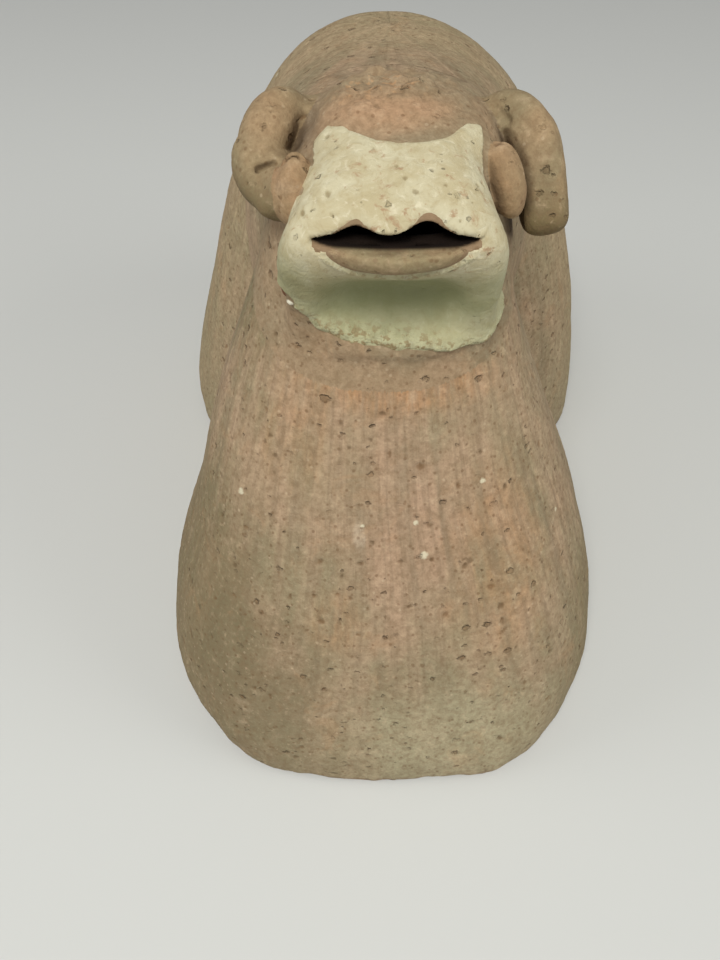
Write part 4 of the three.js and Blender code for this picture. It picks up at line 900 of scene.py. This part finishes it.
# =====================================================================================
# make the pieces
# =====================================================================================
build("chest_bell", (-70,-119,-4), (70,20,126), 2.4, 2, body_clay, "chest_bell")
build("rump_bell", (-76,-22,-4), (80,118,140), 3.0, 2, body_clay, "rump_bell")
build("back_saddle", (-48,-50,52), (50,52,152), 2.8, 2, body_clay, "back_saddle")
Vh, nh, Qh, Ph, outh = build("head_shell", (-36,-77,92), (36,2,153), 0.9, 1, head_clay, "head_shell")
build("crown", (-18,-48,138), (18,-18,154), 0.8, 1, head_clay, "crown_patch", "crown_patch_clay")
build("lip", (-18,-76,126), (18,-54,143), 0.7, 1, lip_clay, "lower_lip", "lower_lip_clay")
build("horn_l", (6,-56,112), (40,-14,152), 0.9, 1, horn_clay, "horn_left", "horn_left_clay")
build("horn_r", (-42,-62,118), (-6,-14,153), 0.9, 1, horn_clay, "horn_right", "horn_right_clay")
build("ear_l", (13,-60,124), (30,-37,150), 0.6, 1, ear_clay, "ear_left", "ear_left_clay")
build("ear_r", (-29,-62,126), (-13,-38,150), 0.6, 1, ear_clay, "ear_right", "ear_right_clay")

# ---- tail: a short roll pressed onto the rump ----------------------------------------
def tail_field(x, y, z):
    t = tail(x, y, z); r = rump(x, y, z)
    return np.maximum(smin(t, r, 2.5)+0.0, np.maximum(t-1.2, -(r+2.5)))
V, Q, poly = sculpt(tail_field, (-12,84,28), (18,122,104), 1.2, 1, lambda c: rump(*c.T) > -1.0)
n = normals(V, Q, poly)
d = 0.35*fbm(N1,*V.T,9.0,2)+0.08*fbm(N5,*V.T,1.8,2)
W = V + n*d[:,None]; W[:,1] = np.minimum(W[:,1], 118)
z0 = np.zeros(len(V)); u, v = wrap(*V.T)
# the tail's painted crease shade darkens it where it meets the rump
emit("tail_clay", W, Q, poly, {"pit": z0, "painted_mouth_shade": z0, "bare": z0, "painted_crease_shade": step(2.0,0.2,np.abs(rump(*V.T)))*0.8, "slip": z0, "inner": z0, "wipe": np.stack([u,v,z0],1)}, body_clay, "tail")

# ---- slip coat: a thick brushed skin over the muzzle, lifted from the head's own surface --
def coat():
    V, n, Q, P, out = Vh, nh, Qh, Ph, outh
    x, y, z = V.T
    reg = slip_region(x, y, z)
    lipd = P["lip"]; near_lip = lipd - 0.9
    ears = np.minimum.reduce([P["ear_l"], P["ear_r"], P["horn_l"], P["horn_r"]]) - 0.7
    ins = -smin(P["skull"], P["chest"], 5)             # depth below the face: in the mouth
    # worn off the two lobes of the upper lip
    xc = x+0.5; env = np.clip(1-(np.abs(xc)/14.9)**2.2, 0, 1)**0.7
    up = 138.4 + env*(1.1 + 3.5*np.exp(-((xc-5.8)/3.4)**2) + 2.9*np.exp(-((xc+7.7)/3.2)**2)) + 0.35*fbm(N4, x, y, z, 1.8, 2)
    mouth_edge = np.where((z > 137.0) & (y < -62), np.minimum(up-z, 15.0-np.abs(xc)), -9)
    lipzone = (z < 139.5)*(z > 126)*(y < -60)
    edge = np.maximum.reduce([reg, np.where(lipzone > 0, -near_lip, -9), -ears, np.where(z > 132, ins-1.6, -9), mouth_edge])
    keep = edge < 0.9
    fq = keep[Q].all(1) & (np.abs(P["all"][Q]) < 0.35).all(1) & (neck_side(*V.T)[Q] > 0.5).all(1)
    q = Q[fq]
    used = np.unique(q); back = -np.ones(len(V), np.int64); back[used] = np.arange(len(used)); q = back[q]
    v = V[used]; nn = n[used]; e = edge[used]; r = reg[used]
    low = step(6.0, 0.0, (v[:,2]-np.interp(v[:,0], LOW[0], LOW[1])))
    crust = low*step(-6.5, -1.0, r)
    crust = np.maximum(crust, 0.55*step(1.7, 0.3, near_lip[used])*(v[:,2] < 136)*(np.abs(v[:,0]) < 15))
    t = 0.42 + 0.14*fbm(N2,*v.T,4.0,2) + 0.08*fbm(N5,*v.T,1.4,2)
    t = t + crust*(0.55+0.75*np.clip(fbm(N4,*v.T,2.6,3)+0.15,0,1)*1.3)
    t = t*step(0.35, -1.1, e) - 0.35*step(-0.3, 0.7, e)
    pd = 0
    # brush-pocked nose: shallow pits of its own
    holes = np.zeros(len(v)); pdv = np.zeros(len(v))
    r2 = np.random.default_rng(41)
    cand = v[(v[:,2] > 139) & (e < -1.5)]
    spots = cand[r2.integers(0, len(cand), 13)]
    for c in spots:
        rr = r2.uniform(0.4, 0.95); k = 1-step(0.25, 1.15, np.linalg.norm((v-c)*np.array([1.0,0.75,1.15]), axis=1)/rr/(1+0.55*N4(*(v*1.3).T)))
        pdv = np.minimum(pdv, -0.45*k*rr); holes = np.maximum(holes, k)
    d0 = 0.55*fbm(N1, *v.T, 26.0, 2) + 0.16*fbm(N2, *v.T, 7.5, 2)
    outer = v + nn*(t+pdv+d0)[:,None]
    inner = v + nn*(d0-0.45)[:,None]
    m = len(v)
    # border edges, to close the skin
    ed = np.concatenate([np.stack([q[:,a], q[:,(a+1)%4]],1) for a in range(4)])
    key = ed.min(1)*m+ed.max(1); uq, inv, cnt = np.unique(key, return_inverse=True, return_counts=True)
    b = ed[cnt[inv] == 1]
    side = np.stack([b[:,1], b[:,0], b[:,0]+m, b[:,1]+m], 1)
    QQ = np.concatenate([q, q[:,::-1]+m, side])
    VV = np.vstack([outer, inner])
    z2 = np.zeros(2*m)
    # c1: how closely clay hems the slip in, for its painted crease shade
    w = VV + 0; c1 = np.clip(1-parts(*(outer+nn*2.2).T)["all"]/2.2, 0, 1)
    ed_attr = np.concatenate([step(-4.5, -0.4, e)]*2)
    worn = np.concatenate([step(0.2, 1.4, ins[used])*(v[:,2] > 134)]*2)
    emit("muzzle_slip_coat_skin", VV, QQ, [], {"pit": np.concatenate([holes, holes]), "painted_crease_shade": np.concatenate([c1, c1*0]), "edge": ed_attr, "crust": np.concatenate([crust, crust]), "worn": worn}, slip_coat, "muzzle_slip_coat")
coat()

# =====================================================================================
# stage, light, camera
# =====================================================================================
fm = bpy.data.materials.new("pale_floor"); fm.use_nodes = True
fm.node_tree.nodes["Principled BSDF"].inputs["Base Color"].default_value = (0.62, 0.615, 0.60, 1)
fm.node_tree.nodes["Principled BSDF"].inputs["Roughness"].default_value = 0.9
bpy.ops.mesh.primitive_plane_add(size=12, location=(0,0,-0.0002)); floor = bpy.context.object; floor.name = "floor"; floor.data.materials.append(fm)

def area(name, loc, size, power, colour, target=(0,-0.02,0.08)):
    l = bpy.data.lights.new(name, "AREA"); l.shape = "DISK"; l.size = size; l.energy = power; l.color = colour
    o = bpy.data.objects.new(name, l); bpy.context.scene.collection.objects.link(o); o.location = loc
    d = np.array(target)-np.array(loc); from mathutils import Vector
    o.rotation_euler = Vector(d).to_track_quat("-Z", "Y").to_euler()
    return o
area("key", (-0.15,-0.62,1.0), 0.45, 9.2, (0.99,1.0,0.95))
area("side", (-0.95,-0.05,0.6), 0.7, 2.4, (0.97,1.0,0.97))
area("fill", (0.95,-0.25,0.6), 0.8, 3.6, (0.97,1.0,0.94))
w = bpy.data.worlds.new("soft"); bpy.context.scene.world = w; w.use_nodes = True
w.node_tree.nodes["Background"].inputs[0].default_value = (0.96,0.98,1.0,1); w.node_tree.nodes["Background"].inputs[1].default_value = 0.26
bpy.context.scene.view_settings.view_transform = "Standard"

cam = bpy.data.cameras.new("camera"); cam.lens = 30; cam.sensor_width = 36; cam.clip_start = 0.005; cam.clip_end = 20
co = bpy.data.objects.new("camera", cam); bpy.context.scene.collection.objects.link(co)
co.location = ((-7.0+SHIFT[0])*0.001, (-190.5+SHIFT[1])*0.001, 0.219); co.rotation_euler = (math.radians(40), 0, 0)
bpy.context.scene.camera = co
